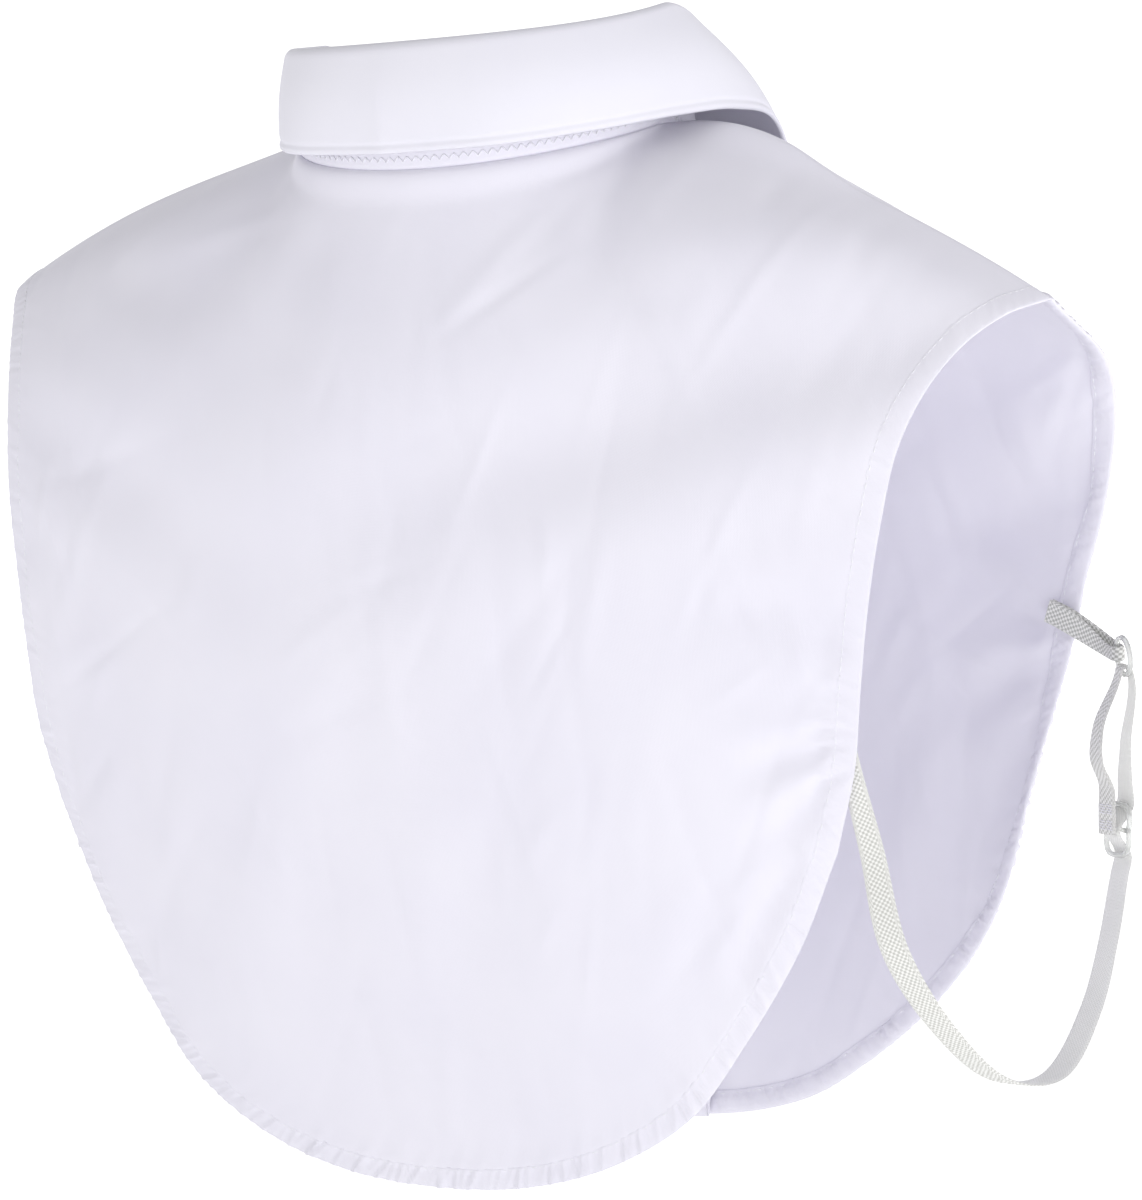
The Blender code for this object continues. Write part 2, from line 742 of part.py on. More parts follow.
def fall_point(bearing, share):
    """Middle of the fall's cloth from the stand seam over the fold to the lower edge."""
    root = stand_top_point(bearing)
    low = neck_point(bearing)
    rise = (root - low).normalized()
    outward = Vector((math.sin(math.radians(bearing)) / NECK_HALF_WIDTH,
                      math.cos(math.radians(bearing)) / NECK_BACK_DEPTH, 0.0)).normalized()
    start = root + rise * (SEAM_GAP + 0.1) - outward * (STAND_CLOTH / 2.0)
    crest = start + rise * FALL_RISE
    edge = Vector(read_table(FALL_EDGE, abs(bearing)))
    tuck = math.sin(math.pi * min(max((bearing - 25.0) / 105.0, 0.0), 1.0)) ** 2
    edge.x -= LEFT_FALL_TUCK * tuck
    edge.y -= LEFT_FALL_TUCK * 0.3 * tuck
    edge.x *= -1.0 if bearing < 0.0 else 1.0
    edge.z -= FALL_EDGE_LEAN * edge.x
    spread = RIGHT_FOLD_SPREAD * math.exp(-((bearing + 112.0) / 32.0) ** 2)
    if share < 0.12:
        return blend(start, crest, share / 0.12)
    turned = min((share - 0.12) / 0.30, 1.0)
    angle = math.pi * 0.86 * turned
    point = crest + outward * (FOLD_RADIUS * (1.0 - math.cos(angle)) - LEFT_FOLD_TUCK * tuck * ease(turned))
    point += rise * (FOLD_RADIUS * math.sin(angle))
    point += (outward + rise * 0.35) * (spread * ease(turned * 1.7))
    if share <= 0.42:
        return point
    t = (share - 0.42) / 0.58
    bulge = blend(FALL_BULGE_LEFT, FALL_BULGE_RIGHT, (1.0 - math.sin(math.radians(bearing))) / 2.0)
    point = blend(point, edge, t)
    return point + (outward + rise * 0.3) * (bulge * math.sin(math.pi * t))


# Buttons

def make_button(name, radius, collection, surface, cutters):
    """Round four-hole button lying with its face along its own Z."""
    bm = bmesh.new()
    half = BUTTON_THICKNESS / 2.0
    profile = ((0.0, -half), (radius - 0.7, -half), (radius, -half + 0.7), (radius, half - 0.5),
               (radius - 0.5, half), (radius - BUTTON_RIM, half), (radius - BUTTON_RIM - 0.6, half - 0.6),
               (0.0, half - 0.6))
    previous = None
    for distance, level in profile:
        vertex = bm.verts.new((distance * MM, 0.0, level * MM))
        if previous is not None:
            bm.edges.new((previous, vertex))
        previous = vertex
    made = add_object(name, bm, collection, surface)
    turn = made.modifiers.new("turn", "SCREW")
    turn.steps = 24
    turn.render_steps = 24
    turn.use_merge_vertices = True
    turn.merge_threshold = 0.00001
    holes = bmesh.new()
    for k in range(4):
        angle = math.pi / 4.0 + math.pi / 2.0 * k
        result = bmesh.ops.create_cone(holes, cap_ends=True, segments=10, radius1=BUTTON_HOLE_RADIUS * MM,
                                       radius2=BUTTON_HOLE_RADIUS * MM, depth=6.0 * MM)
        shift = Vector((math.cos(angle), math.sin(angle), 0.0)) * BUTTON_HOLE_OFFSET * MM
        bmesh.ops.translate(holes, verts=result["verts"], vec=shift)
    cutter = add_object(name + "_holes", holes, cutters, surface)
    cutter.hide_render = True
    cutter.display_type = "WIRE"
    cutter.parent = made
    cut = made.modifiers.new("holes", "BOOLEAN")
    cut.operation = "DIFFERENCE"
    cut.solver = "EXACT"
    cut.object = cutter
    return made


def set_button(made, point, normal):
    """Lay a button at a point with its face along a normal."""
    made.location = point * MM
    made.rotation_euler = normal.to_track_quat("Z", "Y").to_euler()


def main():
    for item in list(bpy.data.objects):
        bpy.data.objects.remove(item, do_unlink=True)
    collection = bpy.data.collections.new("detachable_shirt_collar")
    cutters = bpy.data.collections.new("cutters")
    bpy.context.scene.collection.children.link(collection)
    bpy.context.scene.collection.children.link(cutters)

    poplin = material("white_poplin", (0.80, 0.79, 0.87), 0.85, sheen=0.2)
    stiff = material("white_poplin_stiffened", (0.81, 0.80, 0.88), 0.8, sheen=0.2)
    elastic = material("white_elastic", (0.78, 0.78, 0.76), 0.75)
    clear = material("clear_plastic", (0.86, 0.87, 0.86), 0.25, transmission=0.3)
    pearl = material("white_button", (0.85, 0.85, 0.87), 0.3)

    # Back panel
    hem = HEM_WIDTH / PANEL_HALF_WIDTH
    step = HEM_STEP / PANEL_HALF_WIDTH
    columns = panel_shares(27, hem, hem, -1.0, 1.0, step)
    rows = panel_shares(20, 0.0, HEM_WIDTH / PANEL_LENGTH, 0.0, 1.0, HEM_STEP / PANEL_LENGTH)
    last_column, last_row = len(columns) - 1, len(rows) - 1

    def back_hem(i, j):
        return i <= 1 or i >= last_column - 1 or j >= last_row - 1

    sheet("back_panel", columns, rows, back_point, HEM_CLOTH, collection, poplin,
          side=-1.0, thin=CLOTH, thick_at=back_hem)

    # Fronts, lapped right over left at the middle
    fold = LAP_FOLD / PANEL_HALF_WIDTH
    shares = [0.0, fold, fold + step] + spread(0.17, 1.0 - hem - step, 13) + [1.0 - hem, 1.0]

    def front_hem(i, j):
        return i <= 1 or i >= len(shares) - 2 or j >= last_row - 1

    def right_place(share, down):
        return front_point(blend(front_share_at(LAP_HALF, down), -1.0, share), down)

    def left_place(share, down):
        return front_left_point(blend(front_share_at(-LAP_HALF, down), 1.0, share), down)

    sheet("front_right", shares, rows, right_place, HEM_CLOTH, collection, poplin,
          side=-1.0, thin=CLOTH, thick_at=front_hem)
    sheet("front_left", shares, rows, left_place, HEM_CLOTH, collection, poplin,
          side=1.0, thin=CLOTH, thick_at=front_hem)

    # Collar stand and fall
    sheet("collar_stand", spread(-STAND_END, STAND_END, 57), spread(0.0, 1.0, 5), stand_point, STAND_CLOTH,
          collection, stiff, side=1.0)
    profile = [0.0, 0.06, 0.12, 0.17, 0.22, 0.27, 0.32, 0.37, 0.42, 0.5, 0.6, 0.7, 0.8, 0.9, 1.0]
    sheet("collar_fall", spread(-FALL_END, FALL_END, 53), profile, fall_point, FALL_CLOTH,
          collection, stiff, side=0.0)

    # Buttons down the middle of the front
    button = make_button("button_stand", STAND_BUTTON_RADIUS, collection, pearl, cutters)
    seat = stand_point(-180.0, 0.5)
    normal = Vector((0.0, -1.0, 0.32)).normalized()
    set_button(button, seat + normal * (BUTTON_THICKNESS / 2.0 + SEAM_GAP + 0.2), normal)
    for number, level in enumerate(FRONT_BUTTON_LEVELS, start=1):
        button = make_button("button_front_%d" % number, BUTTON_RADIUS, collection, pearl, cutters)
        down = 0.0
        while front_point(0.0, down).z > level:
            down += 0.002
        point = front_point(0.0, down)
        tangent = front_point(0.0, down + 0.01) - front_point(0.0, down - 0.01)
        normal = Vector((0.0, tangent.z, -tangent.y)).normalized()
        set_button(button, point + normal * (BUTTON_THICKNESS / 2.0 + SEAM_GAP + 0.2), normal)

    # Elastic straps at both sides
    make_strap_set("right", -1.0, STRAP_ROUTE_RIGHT, collection, elastic, clear)
    make_strap_set("left", 1.0, STRAP_ROUTE_LEFT, collection, elastic, clear)


main()
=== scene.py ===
"""Detachable shirt collar: the dressed cloth, sewing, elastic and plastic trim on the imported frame.

The wearer faces -Y and +Z is up; the wearer's left side is +X. Sizes are in millimetres unless noted.
"""
import math
import random

import bpy
import numpy as np
from mathutils import Matrix, Vector
from mathutils.bvhtree import BVHTree
from mathutils.kdtree import KDTree


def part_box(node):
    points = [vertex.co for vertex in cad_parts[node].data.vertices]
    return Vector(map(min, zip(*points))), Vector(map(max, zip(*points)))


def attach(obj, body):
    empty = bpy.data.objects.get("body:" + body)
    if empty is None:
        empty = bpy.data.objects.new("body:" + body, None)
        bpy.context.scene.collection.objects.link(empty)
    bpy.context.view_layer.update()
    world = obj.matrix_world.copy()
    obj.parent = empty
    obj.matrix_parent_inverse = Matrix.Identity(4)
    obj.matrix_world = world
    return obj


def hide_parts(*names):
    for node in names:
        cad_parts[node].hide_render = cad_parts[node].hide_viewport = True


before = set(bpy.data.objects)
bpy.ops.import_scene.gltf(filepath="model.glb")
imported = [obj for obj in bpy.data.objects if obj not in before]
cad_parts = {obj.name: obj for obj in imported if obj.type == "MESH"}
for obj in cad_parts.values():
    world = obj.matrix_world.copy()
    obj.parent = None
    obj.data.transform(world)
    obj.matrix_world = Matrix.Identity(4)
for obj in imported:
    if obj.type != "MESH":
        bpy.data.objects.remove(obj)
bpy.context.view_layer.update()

MM = 0.001
ROOT = "root"

# Picture, and the camera that sees it: bearing, height, roll and distance from the neck centre
PICTURE_WIDTH = 1142.0
PICTURE_HEIGHT = 1200.0
CAMERA_BEARING = math.radians(29.0)
CAMERA_HEIGHT = math.radians(8.5)
CAMERA_ROLL = math.radians(4.3)
CAMERA_DISTANCE = 2.0
CAMERA_FOCUS = 6304.0
NECK_IN_PICTURE = (495.0, 128.0)
SENSOR = 36.0
LIGHT_TARGET = Vector((0.0, 0.0, -0.15))

# Cloth
CLOTH = 0.8
HEM_STITCH = 6.3
SEAM_GAP = 0.3
GRID_STEP = 1.7
HEM_STEP = 0.65
STITCH_PITCH = 2.8
STITCH_LENGTH = 2.1
THREAD_RADIUS = 0.23

# Neck ring, where the panels meet the collar stand
NECK_HALF_WIDTH = 61.0
NECK_BACK_DEPTH = 67.0
NECK_FRONT_DEPTH = 75.0
NECK_BACK_LEVEL = -2.0
NECK_FRONT_DROP = 55.0
SIDE_NECK_LEVEL = 0.5
NECK_DROP_POWER = 1.3
NECK_LEAN = 0.03

# Shoulder seam
SHOULDER_HALF = 185.0
SHOULDER_TIP_DEPTH = -8.0
SHOULDER_DROP = 52.5
SHOULDER_BOW = 4.5
RIGHT_SHOULDER_FULLNESS = 1.5
SHOULDER_HALF_GAP = 0.1
NECK_SHARE = 0.43

# Collar stand and fall
STAND_CLOTH = 1.6
STAND_HALF_WIDTH = 59.5
STAND_BACK_DEPTH = 64.5
STAND_FRONT_DEPTH = 67.0
STAND_BACK_LEVEL = 30.0
STAND_FRONT_LEVEL = -31.0
STAND_DROP_POWER = 1.5
STAND_SIDE_DIP = 3.0
LEFT_STAND_DIP = 1.5
LEFT_FRONT_DIP = 3.4
COLLAR_LEAN = 0.075
STAND_END = 188.0
STAND_LAP_OFFSET = 1.2
FALL_CLOTH = 1.4
FALL_END = 170.0
FALL_RISE = 3.5
FOLD_RADIUS = 3.0
FALL_BULGE_LEFT = 1.0
FALL_BULGE_RIGHT = 2.8
FALL_EDGE_LEAN = 0.05
LEFT_FOLD_TUCK = 2.8
LEFT_FALL_TUCK = 9.5
RIGHT_FOLD_SPREAD = 3.5

# Front closing
LAP_HALF = 15.0
LAP_STITCH = 11.0
LAP_TUCK = 3.1
LAP_TUCK_REACH = 34.0

# Elastic strap and its plastic ring and slider
STRAP_WIDTH = 9.0
STRAP_THICKNESS = 1.0
STRAP_WIDTH_AT_RING = 5.6
STRAP_WIDTH_AT_EXIT = 6.4
TAB_WIDTH = 8.0
TAB_WIDTH_AT_RING = 4.8
RING_RADIUS = 6.0
RING_WIRE = 0.9
RING_HEADING = 46.0
SLIDER_HEADING = 30.0
RING_CENTRE = (183.0, -52.5, -176.5)
SLIDER_CENTRE = (182.5, -42.0, -230.5)
STRAP_INSET = 2.75
SLIDER_WIDTH = 13.5
SLIDER_HEIGHT = 18.0
SLIDER_BAR = 0.9

# Buttons
BUTTON_HOLE_OFFSET = 1.95
BUTTONHOLE_HALF = 7.6

# Edge of the back panel from the shoulder tip to the lower corner: share, half width, depth, level
BACK_EDGE = (
    (0.00, 185.0, -8.0, -52.5),
    (0.11, 178.0, 12.0, -54.0),
    (0.20, 170.5, 27.0, -60.5),
    (0.29, 164.0, 41.0, -71.5),
    (0.38, 159.0, 52.5, -86.5),
    (0.49, 155.5, 61.0, -108.5),
    (0.61, 152.0, 66.0, -133.0),
    (0.74, 149.0, 69.0, -159.0),
    (0.87, 146.0, 70.5, -184.0),
    (1.00, 139.0, 71.5, -210.0),
)

# Lower hem of the back panel from the corner to the middle: share, half width, depth, level
BACK_HEM = (
    (0.00, 139.0, 71.5, -210.0),
    (0.18, 125.5, 74.5, -241.0),
    (0.36, 107.0, 79.0, -271.0),
    (0.52, 88.5, 83.0, -295.0),
    (0.68, 62.0, 86.5, -311.5),
    (0.84, 32.0, 88.5, -320.5),
    (1.00, 0.0, 89.0, -323.0),
    (1.16, -32.0, 88.5, -320.5),
)

# Middle of the back panel: share, depth, level
BACK_MIDDLE = (
    (0.00, 67.0, -2.0),
    (0.07, 75.5, -25.0),
    (0.15, 85.0, -50.0),
    (0.24, 93.0, -80.0),
    (0.33, 98.5, -110.0),
    (0.48, 101.5, -160.0),
    (0.64, 100.5, -210.0),
    (0.82, 96.0, -268.0),
    (1.00, 89.0, -323.0),
)

# Back panel below the side neck point: share, depth, level
BACK_SIDE_NECK = (
    (0.00, 0.0, 0.5),
    (0.06, 22.0, -5.0),
    (0.13, 43.0, -16.0),
    (0.20, 59.0, -33.0),
    (0.28, 73.0, -57.0),
    (0.38, 85.0, -88.0),
    (0.48, 91.5, -122.0),
    (0.60, 94.5, -163.0),
    (0.73, 94.0, -207.0),
    (0.87, 90.0, -255.0),
    (1.00, 84.0, -300.0),
)

# Edge of a front from the shoulder tip to the lower corner: share, half width, depth, level
FRONT_EDGE = (
    (0.00, 185.0, -8.0, -52.5),
    (0.05, 184.8, -16.0, -57.5),
    (0.13, 184.0, -31.5, -66.5),
    (0.22, 183.0, -47.5, -76.0),
    (0.29, 181.5, -58.5, -85.5),
    (0.35, 179.5, -65.5, -95.5),
    (0.47, 174.5, -70.5, -120.0),
    (0.56, 170.0, -70.5, -138.0),
    (0.65, 165.0, -68.0, -155.5),
    (0.74, 161.0, -65.5, -174.0),
    (0.82, 157.5, -61.0, -189.5),
    (0.92, 153.5, -53.0, -208.0),
    (1.00, 149.5, -48.0, -224.0),
)

# Lower hem of a front from the corner to the middle: share, half width, depth, level
FRONT_HEM = (
    (0.00, 149.5, -48.0, -224.0),
    (0.15, 142.0, -44.5, -252.0),
    (0.31, 128.5, -46.0, -276.0),
    (0.46, 110.0, -48.5, -297.0),
    (0.62, 84.0, -54.0, -318.5),
    (0.77, 56.0, -62.0, -336.0),
    (0.90, 24.0, -71.5, -346.5),
    (1.00, 0.0, -74.0, -349.0),
    (1.10, -24.0, -71.5, -346.5),
)

# Middle of the fronts: share, depth, level
FRONT_MIDDLE = (
    (0.00, -75.0, -55.0),
    (0.08, -87.0, -77.0),
    (0.17, -97.0, -103.0),
    (0.30, -104.0, -140.0),
    (0.43, -106.0, -180.0),
    (0.58, -102.0, -225.0),
    (0.73, -94.0, -270.0),
    (0.87, -84.0, -311.0),
    (1.00, -74.0, -349.0),
)

# Front below the side neck point: share, depth, level
FRONT_SIDE_NECK = (
    (0.00, 0.0, 0.5),
    (0.06, -22.0, -8.0),
    (0.13, -41.0, -24.0),
    (0.20, -57.0, -45.0),
    (0.28, -71.0, -71.0),
    (0.38, -82.0, -103.0),
    (0.50, -89.0, -142.0),
    (0.62, -89.5, -182.0),
    (0.75, -83.0, -226.0),
    (0.88, -71.0, -272.0),
    (1.00, -56.5, -317.0),
)

# How much the cloth of the right shoulder rises under the collar: share along the shoulder, rise
RIGHT_SHOULDER_RISE = (
    (0.00, 0.0),
    (0.11, 5.0),
    (0.22, 7.6),
    (0.32, 7.2),
    (0.42, 3.6),
    (0.52, 0.6),
    (0.60, 0.0),
    (1.00, 0.0),
)

# Lower edge of the collar fall: bearing from the middle of the back, half width, depth, level
FALL_EDGE = (
    (0.0, 0.0, 72.5, 4.5),
    (30.0, 36.5, 63.5, 4.5),
    (60.0, 62.0, 39.0, 4.5),
    (80.0, 75.5, 14.0, 4.0),
    (95.0, 82.0, -6.0, 2.0),
    (110.0, 85.0, -27.0, -5.0),
    (125.0, 79.5, -49.0, -26.0),
    (140.0, 70.0, -69.0, -49.0),
    (155.0, 57.0, -84.0, -66.0),
    (170.0, 40.0, -94.5, -80.0),
)

# Sewn start of the strap on the inner face of the back panel: share across, share down, slack
STRAP_START = (
    (0.940, 0.75, 0.2),
    (0.955, 0.79, 0.3),
    (0.975, 0.84, 0.9),
)

# Sewn start of the tab on the inner face of a front: share across, slack
TAB_SHARE_DOWN = 0.74
TAB_SLOPE = -0.38
TAB_START = (
    (0.935, 0.15),
    (0.980, 0.5),
)

# Elastic straps from the back edge down and round to the slider: half width, depth, level, heading
STRAP_ROUTE_RIGHT = (
    (149.0, 68.0, -209.0, -14.0),
    (156.0, 71.0, -239.0, -8.0),
    (166.0, 59.5, -268.0, -3.0),
    (174.0, 37.0, -290.0, 2.0),
    (180.0, 11.0, -295.5, 8.0),
    (183.0, -12.0, -281.0, 20.0),
    (183.5, -28.0, -262.0, 28.0),
)

STRAP_ROUTE_LEFT = (
    (136.0, 64.0, -210.0, -14.0),
    (127.0, 61.0, -240.0, -8.0),
    (116.0, 49.0, -268.0, -3.0),
    (110.0, 30.0, -287.0, 0.0),
    (113.0, 8.0, -291.0, 3.0),
    (132.0, -10.0, -276.0, 10.0),
    (165.0, -27.0, -250.0, 20.0),
)

# Passes of the strap through the slider: level from the slider centre, sideways offset, width
SLIDER_PASS = (
    (-14.0, 1.4, 9.0),
    (-8.1, 2.5, 9.0),
    (0.0, -2.5, 9.0),
    (8.1, 2.4, 9.0),
    (16.0, 1.8, 8.4),
    (26.0, 1.4, 7.2),
)

# Second strand, from the ring back to the slider: level from the slider centre, sideways offset, width
RETURN_PASS = (
    (31.0, -8.6, 7.6),
    (22.0, -9.0, 8.4),
    (13.0, -5.0, 9.0),
    (6.5, -4.7, 9.0),
    (-1.5, -4.2, 9.0),
)

# Section of a turned hem round a panel's edge: distance from the edge, height over the face, pucker share
HEM_SECTION = (
    (7.3, -0.16, 0.10),
    (6.8, 0.01, 0.40),
    (6.3, 0.00, 0.50),
    (5.8, 0.02, 0.75),
    (5.2, 0.04, 0.95),
    (4.0, 0.05, 1.05),
    (2.6, 0.05, 1.05),
    (1.3, 0.03, 1.00),
    (0.4, -0.05, 0.90),
    (-0.15, -0.22, 0.55),
    (-0.3, -0.55, 0.25),
    (-0.15, -0.90, 0.00),
    (0.4, -1.12, -0.20),
    (1.8, -1.25, -0.75),
    (3.6, -1.28, -1.00),
    (5.4, -1.25, -0.80),
    (6.3, -1.06, -0.40),
    (7.0, -1.24, -0.15),
    (7.5, -1.12, 0.00),
    (7.65, -0.70, 0.00),
    (7.3, -0.42, 0.00),
)

# Soft folds of the back panel: start x, start level, end x, end level, half width, depth (minus is a ridge)
BACK_FOLDS = (
    (-168.0, -58.0, -62.0, -84.0, 17.0, 1.9),
    (-75.0, -80.0, 28.0, -122.0, 20.0, 1.5),
    (-140.0, -34.0, -70.0, -30.0, 12.0, -0.9),
    (150.0, -84.0, 84.0, -100.0, 13.0, 1.3),
    (100.0, -100.0, 22.0, -128.0, 18.0, 1.0),
    (118.0, -44.0, 66.0, -34.0, 11.0, 1.0),
    (140.0, -130.0, 122.0, -168.0, 15.0, -1.0),
    (-60.0, -14.0, -84.0, -46.0, 8.0, 0.9),
    (28.0, -20.0, 34.0, -62.0, 10.0, 0.7),
    (-36.0, -104.0, -52.0, -156.0, 9.0, 0.5),
    (-146.0, -150.0, -118.0, -128.0, 7.0, 0.9),
    (-147.0, -178.0, -116.0, -182.0, 5.0, 1.0),
    (-146.0, -184.0, -122.0, -206.0, 5.0, 0.8),
    (-128.0, -212.0, -108.0, -252.0, 5.0, 0.7),
    (-106.0, -218.0, -92.0, -266.0, 6.0, 0.5),
    (-40.0, -196.0, -22.0, -276.0, 15.0, 0.8),
    (44.0, -204.0, 60.0, -284.0, 14.0, -0.7),
    (104.0, -196.0, 92.0, -252.0, 11.0, 0.6),
    (6.0, -150.0, 12.0, -196.0, 10.0, 0.5),
    (-150.0, -166.0, -139.0, -158.0, 1.6, 0.5),
    (-150.0, -173.0, -134.0, -171.0, 1.8, 0.7),
    (-150.0, -178.0, -136.0, -180.0, 1.5, -0.6),
    (-149.0, -183.0, -134.0, -189.0, 1.8, 0.7),
    (-148.0, -188.0, -139.0, -199.0, 1.6, 0.5),
)

# Soft folds of the fronts, right side first
FRONT_FOLDS = (
    (-178.0, -92.0, -136.0, -112.0, 12.0, 1.6),
    (-172.0, -126.0, -112.0, -150.0, 13.0, -1.3),
    (-156.0, -170.0, -122.0, -148.0, 6.0, 1.2),
    (-157.0, -178.0, -118.0, -188.0, 6.0, 1.1),
    (-150.0, -192.0, -124.0, -222.0, 9.0, 1.0),
    (-118.0, -204.0, -96.0, -262.0, 12.0, 0.9),
    (-86.0, -176.0, -72.0, -262.0, 14.0, -0.8),
    (-138.0, -58.0, -78.0, -86.0, 15.0, 1.2),
    (-40.0, -130.0, -34.0, -236.0, 13.0, 0.6),
    (176.0, -96.0, 132.0, -120.0, 12.0, 1.4),
    (170.0, -132.0, 110.0, -148.0, 13.0, -1.1),
    (156.0, -168.0, 126.0, -152.0, 6.0, 1.1),
    (157.0, -179.0, 120.0, -192.0, 6.0, 1.0),
    (146.0, -196.0, 120.0, -236.0, 10.0, 0.9),
    (112.0, -210.0, 88.0, -276.0, 12.0, 0.8),
    (80.0, -168.0, 64.0, -250.0, 15.0, -0.8),
    (134.0, -60.0, 74.0, -92.0, 15.0, 1.1),
    (44.0, -140.0, 36.0, -250.0, 13.0, 0.6),
)


# Tables and curves, for whole arrays of places at once

def read_table(rows, places):
    """Smooth value of each column at places along the first column."""
    rows = np.array(rows, dtype=float)
    x, y = rows[:, 0], rows[:, 1:]
    places = np.clip(np.asarray(places, dtype=float), x[0], x[-1])
    steps = np.diff(x)
    rises = np.diff(y, axis=0) / steps[:, None]
    share = (steps[:-1] / (steps[:-1] + steps[1:]))[:, None]
    slopes = np.vstack([rises[:1], rises[:-1] * (1.0 - share) + rises[1:] * share, rises[-1:]])
    index = np.clip(np.searchsorted(x, places, side="left") - 1, 0, len(x) - 2)
    span = steps[index][..., None]
    t = (places - x[index])[..., None] / span
    h = t * t * (3.0 - 2.0 * t)
    bent = slopes[index] * span * t * (1.0 - t) ** 2 - slopes[index + 1] * span * t * t * (1.0 - t)
    return y[index] * (1.0 - h) + y[index + 1] * h + bent


def blend(a, b, t):
    """Straight mix of two points or numbers."""
    return a + (b - a) * t


def ease(t):
    """Smooth step from 0 to 1."""
    t = np.clip(t, 0.0, 1.0)
    return t * t * (3.0 - 2.0 * t)


def points(x, y, z):
    """Array of points from three arrays or numbers."""
    return np.stack(np.broadcast_arrays(x, y, z), axis=-1).astype(float)


def unit(vectors):
    """Vectors scaled to length one."""
    return vectors / np.maximum(np.linalg.norm(vectors, axis=-1, keepdims=True), 1e-9)


def ring_points(bearing, half_width, depths, levels, power, lean):
    """Points on an oval ring round the neck; depths are back and front, levels back, side and front."""
    angle = np.radians(bearing)
    c = np.cos(angle)
    x = half_width * np.sin(angle)
    behind = blend(levels[1], levels[0], c * c)
    before = blend(levels[1], levels[2], np.maximum(-c, 0.0) ** power)
    return points(x, np.where(c >= 0.0, depths[0], depths[1]) * c, np.where(c >= 0.0, behind, before) - lean * x)


def neck_points(bearing, lean=NECK_LEAN):
    """Neck seam at bearings from the middle of the back."""
    levels = (NECK_BACK_LEVEL, SIDE_NECK_LEVEL, -NECK_FRONT_DROP)
    return ring_points(bearing, NECK_HALF_WIDTH, (NECK_BACK_DEPTH, NECK_FRONT_DEPTH), levels, NECK_DROP_POWER, lean)


def stand_top_points(bearing):
    """Top edge of the collar stand at bearings."""
    levels = (STAND_BACK_LEVEL, STAND_BACK_LEVEL - STAND_SIDE_DIP, STAND_FRONT_LEVEL)
    made = ring_points(bearing, STAND_HALF_WIDTH, (STAND_BACK_DEPTH, STAND_FRONT_DEPTH), levels,
                       STAND_DROP_POWER, COLLAR_LEAN)
    made[..., 2] -= LEFT_STAND_DIP * np.maximum(0.0, np.sin(np.radians(bearing))) ** 4
    made[..., 2] -= LEFT_FRONT_DIP * np.exp(-((bearing - 108.0) / 28.0) ** 2)
    return made


# The two cloth surfaces that the panels are cut from

def top_edge(share, bearing_middle, half_gap):
    """Top boundary of a panel: neck curve, then shoulder seam."""
    neck = neck_points(blend(bearing_middle, 90.0, share / NECK_SHARE), 0.0)
    along = (share - NECK_SHARE) / (1.0 - NECK_SHARE)
    bow = SHOULDER_BOW * np.sin(np.pi * np.clip(along, 0.0, 1.0)) * (0.4 + 1.2 * along)
    seam = points(blend(NECK_HALF_WIDTH, SHOULDER_HALF, along), blend(0.0, SHOULDER_TIP_DEPTH, along) + half_gap,
                  blend(SIDE_NECK_LEVEL, -SHOULDER_DROP, along) + bow)
    return np.where((share <= NECK_SHARE)[..., None], neck, seam)


def bulge_of(rows, down):
    """How far a column of a panel leaves the straight line between its two ends."""
    columns = len(rows[0]) - 1
    start, end = np.array(rows[0][1:]), np.array(rows[-1][1:])
    bulge = read_table(rows, down) - blend(start, end, down[..., None])
    if columns == 2:
        return points(0.0, bulge[..., 0], bulge[..., 1])
    return bulge


def panel_points(across, down, tables, bearing_middle, half_gap):
    """Outer face of a panel; across is -1..1 from edge to edge, down is 0..1 from seam to hem."""
    across, down = np.broadcast_arrays(np.asarray(across, float), np.asarray(down, float))
    side = np.where(across < 0.0, -1.0, 1.0)
    share = np.abs(across)
    edge, hem, middle, side_neck = tables
    made = blend(top_edge(share, bearing_middle, half_gap), read_table(hem, 1.0 - share), down[..., None])
    edge_bulge, neck_bulge = bulge_of(edge, down), bulge_of(side_neck, down)
    beyond = np.clip((share - NECK_SHARE) / (1.0 - NECK_SHARE), 0.0, None)
    within = (1.0 - np.cos(np.pi / 2.0 * np.minimum(share / NECK_SHARE, 1.0)))[..., None]
    near = blend(bulge_of(middle, down), neck_bulge, within)
    far = blend(neck_bulge, edge_bulge, (0.6 * beyond + 0.4 * beyond * beyond)[..., None])
    bulge = np.where((share <= NECK_SHARE)[..., None], near, far)
    made[..., 1] += bulge[..., 1]
    made[..., 2] += bulge[..., 2]
    made[..., 0] += edge_bulge[..., 0] * share ** 2.5
    fade = (1.0 - down) ** 2
    made[..., 2] -= side * NECK_LEAN * np.minimum(made[..., 0], NECK_HALF_WIDTH) * (1.0 - beyond) * fade
    fullness = RIGHT_SHOULDER_FULLNESS * np.sin(np.pi * beyond ** 0.7) * fade * fade
    rise = read_table(RIGHT_SHOULDER_RISE, np.clip(beyond, 0.0, 1.0))[..., 0] * (1.0 - down) ** 7
    made[..., 2] += np.where(side < 0.0, fullness + rise, 0.0)
    made[..., 0] *= side
    return made


def back_points(across, down):
    """Outer face of the back panel."""
    tables = (BACK_EDGE, BACK_HEM, BACK_MIDDLE, BACK_SIDE_NECK)
    return panel_points(across, down, tables, 0.0, SHOULDER_HALF_GAP)


def front_points(across, down):
    """Outer face of the fronts, taken as one surface."""
    tables = (FRONT_EDGE, FRONT_HEM, FRONT_MIDDLE, FRONT_SIDE_NECK)
    return panel_points(across, down, tables, 180.0, -SHOULDER_HALF_GAP)


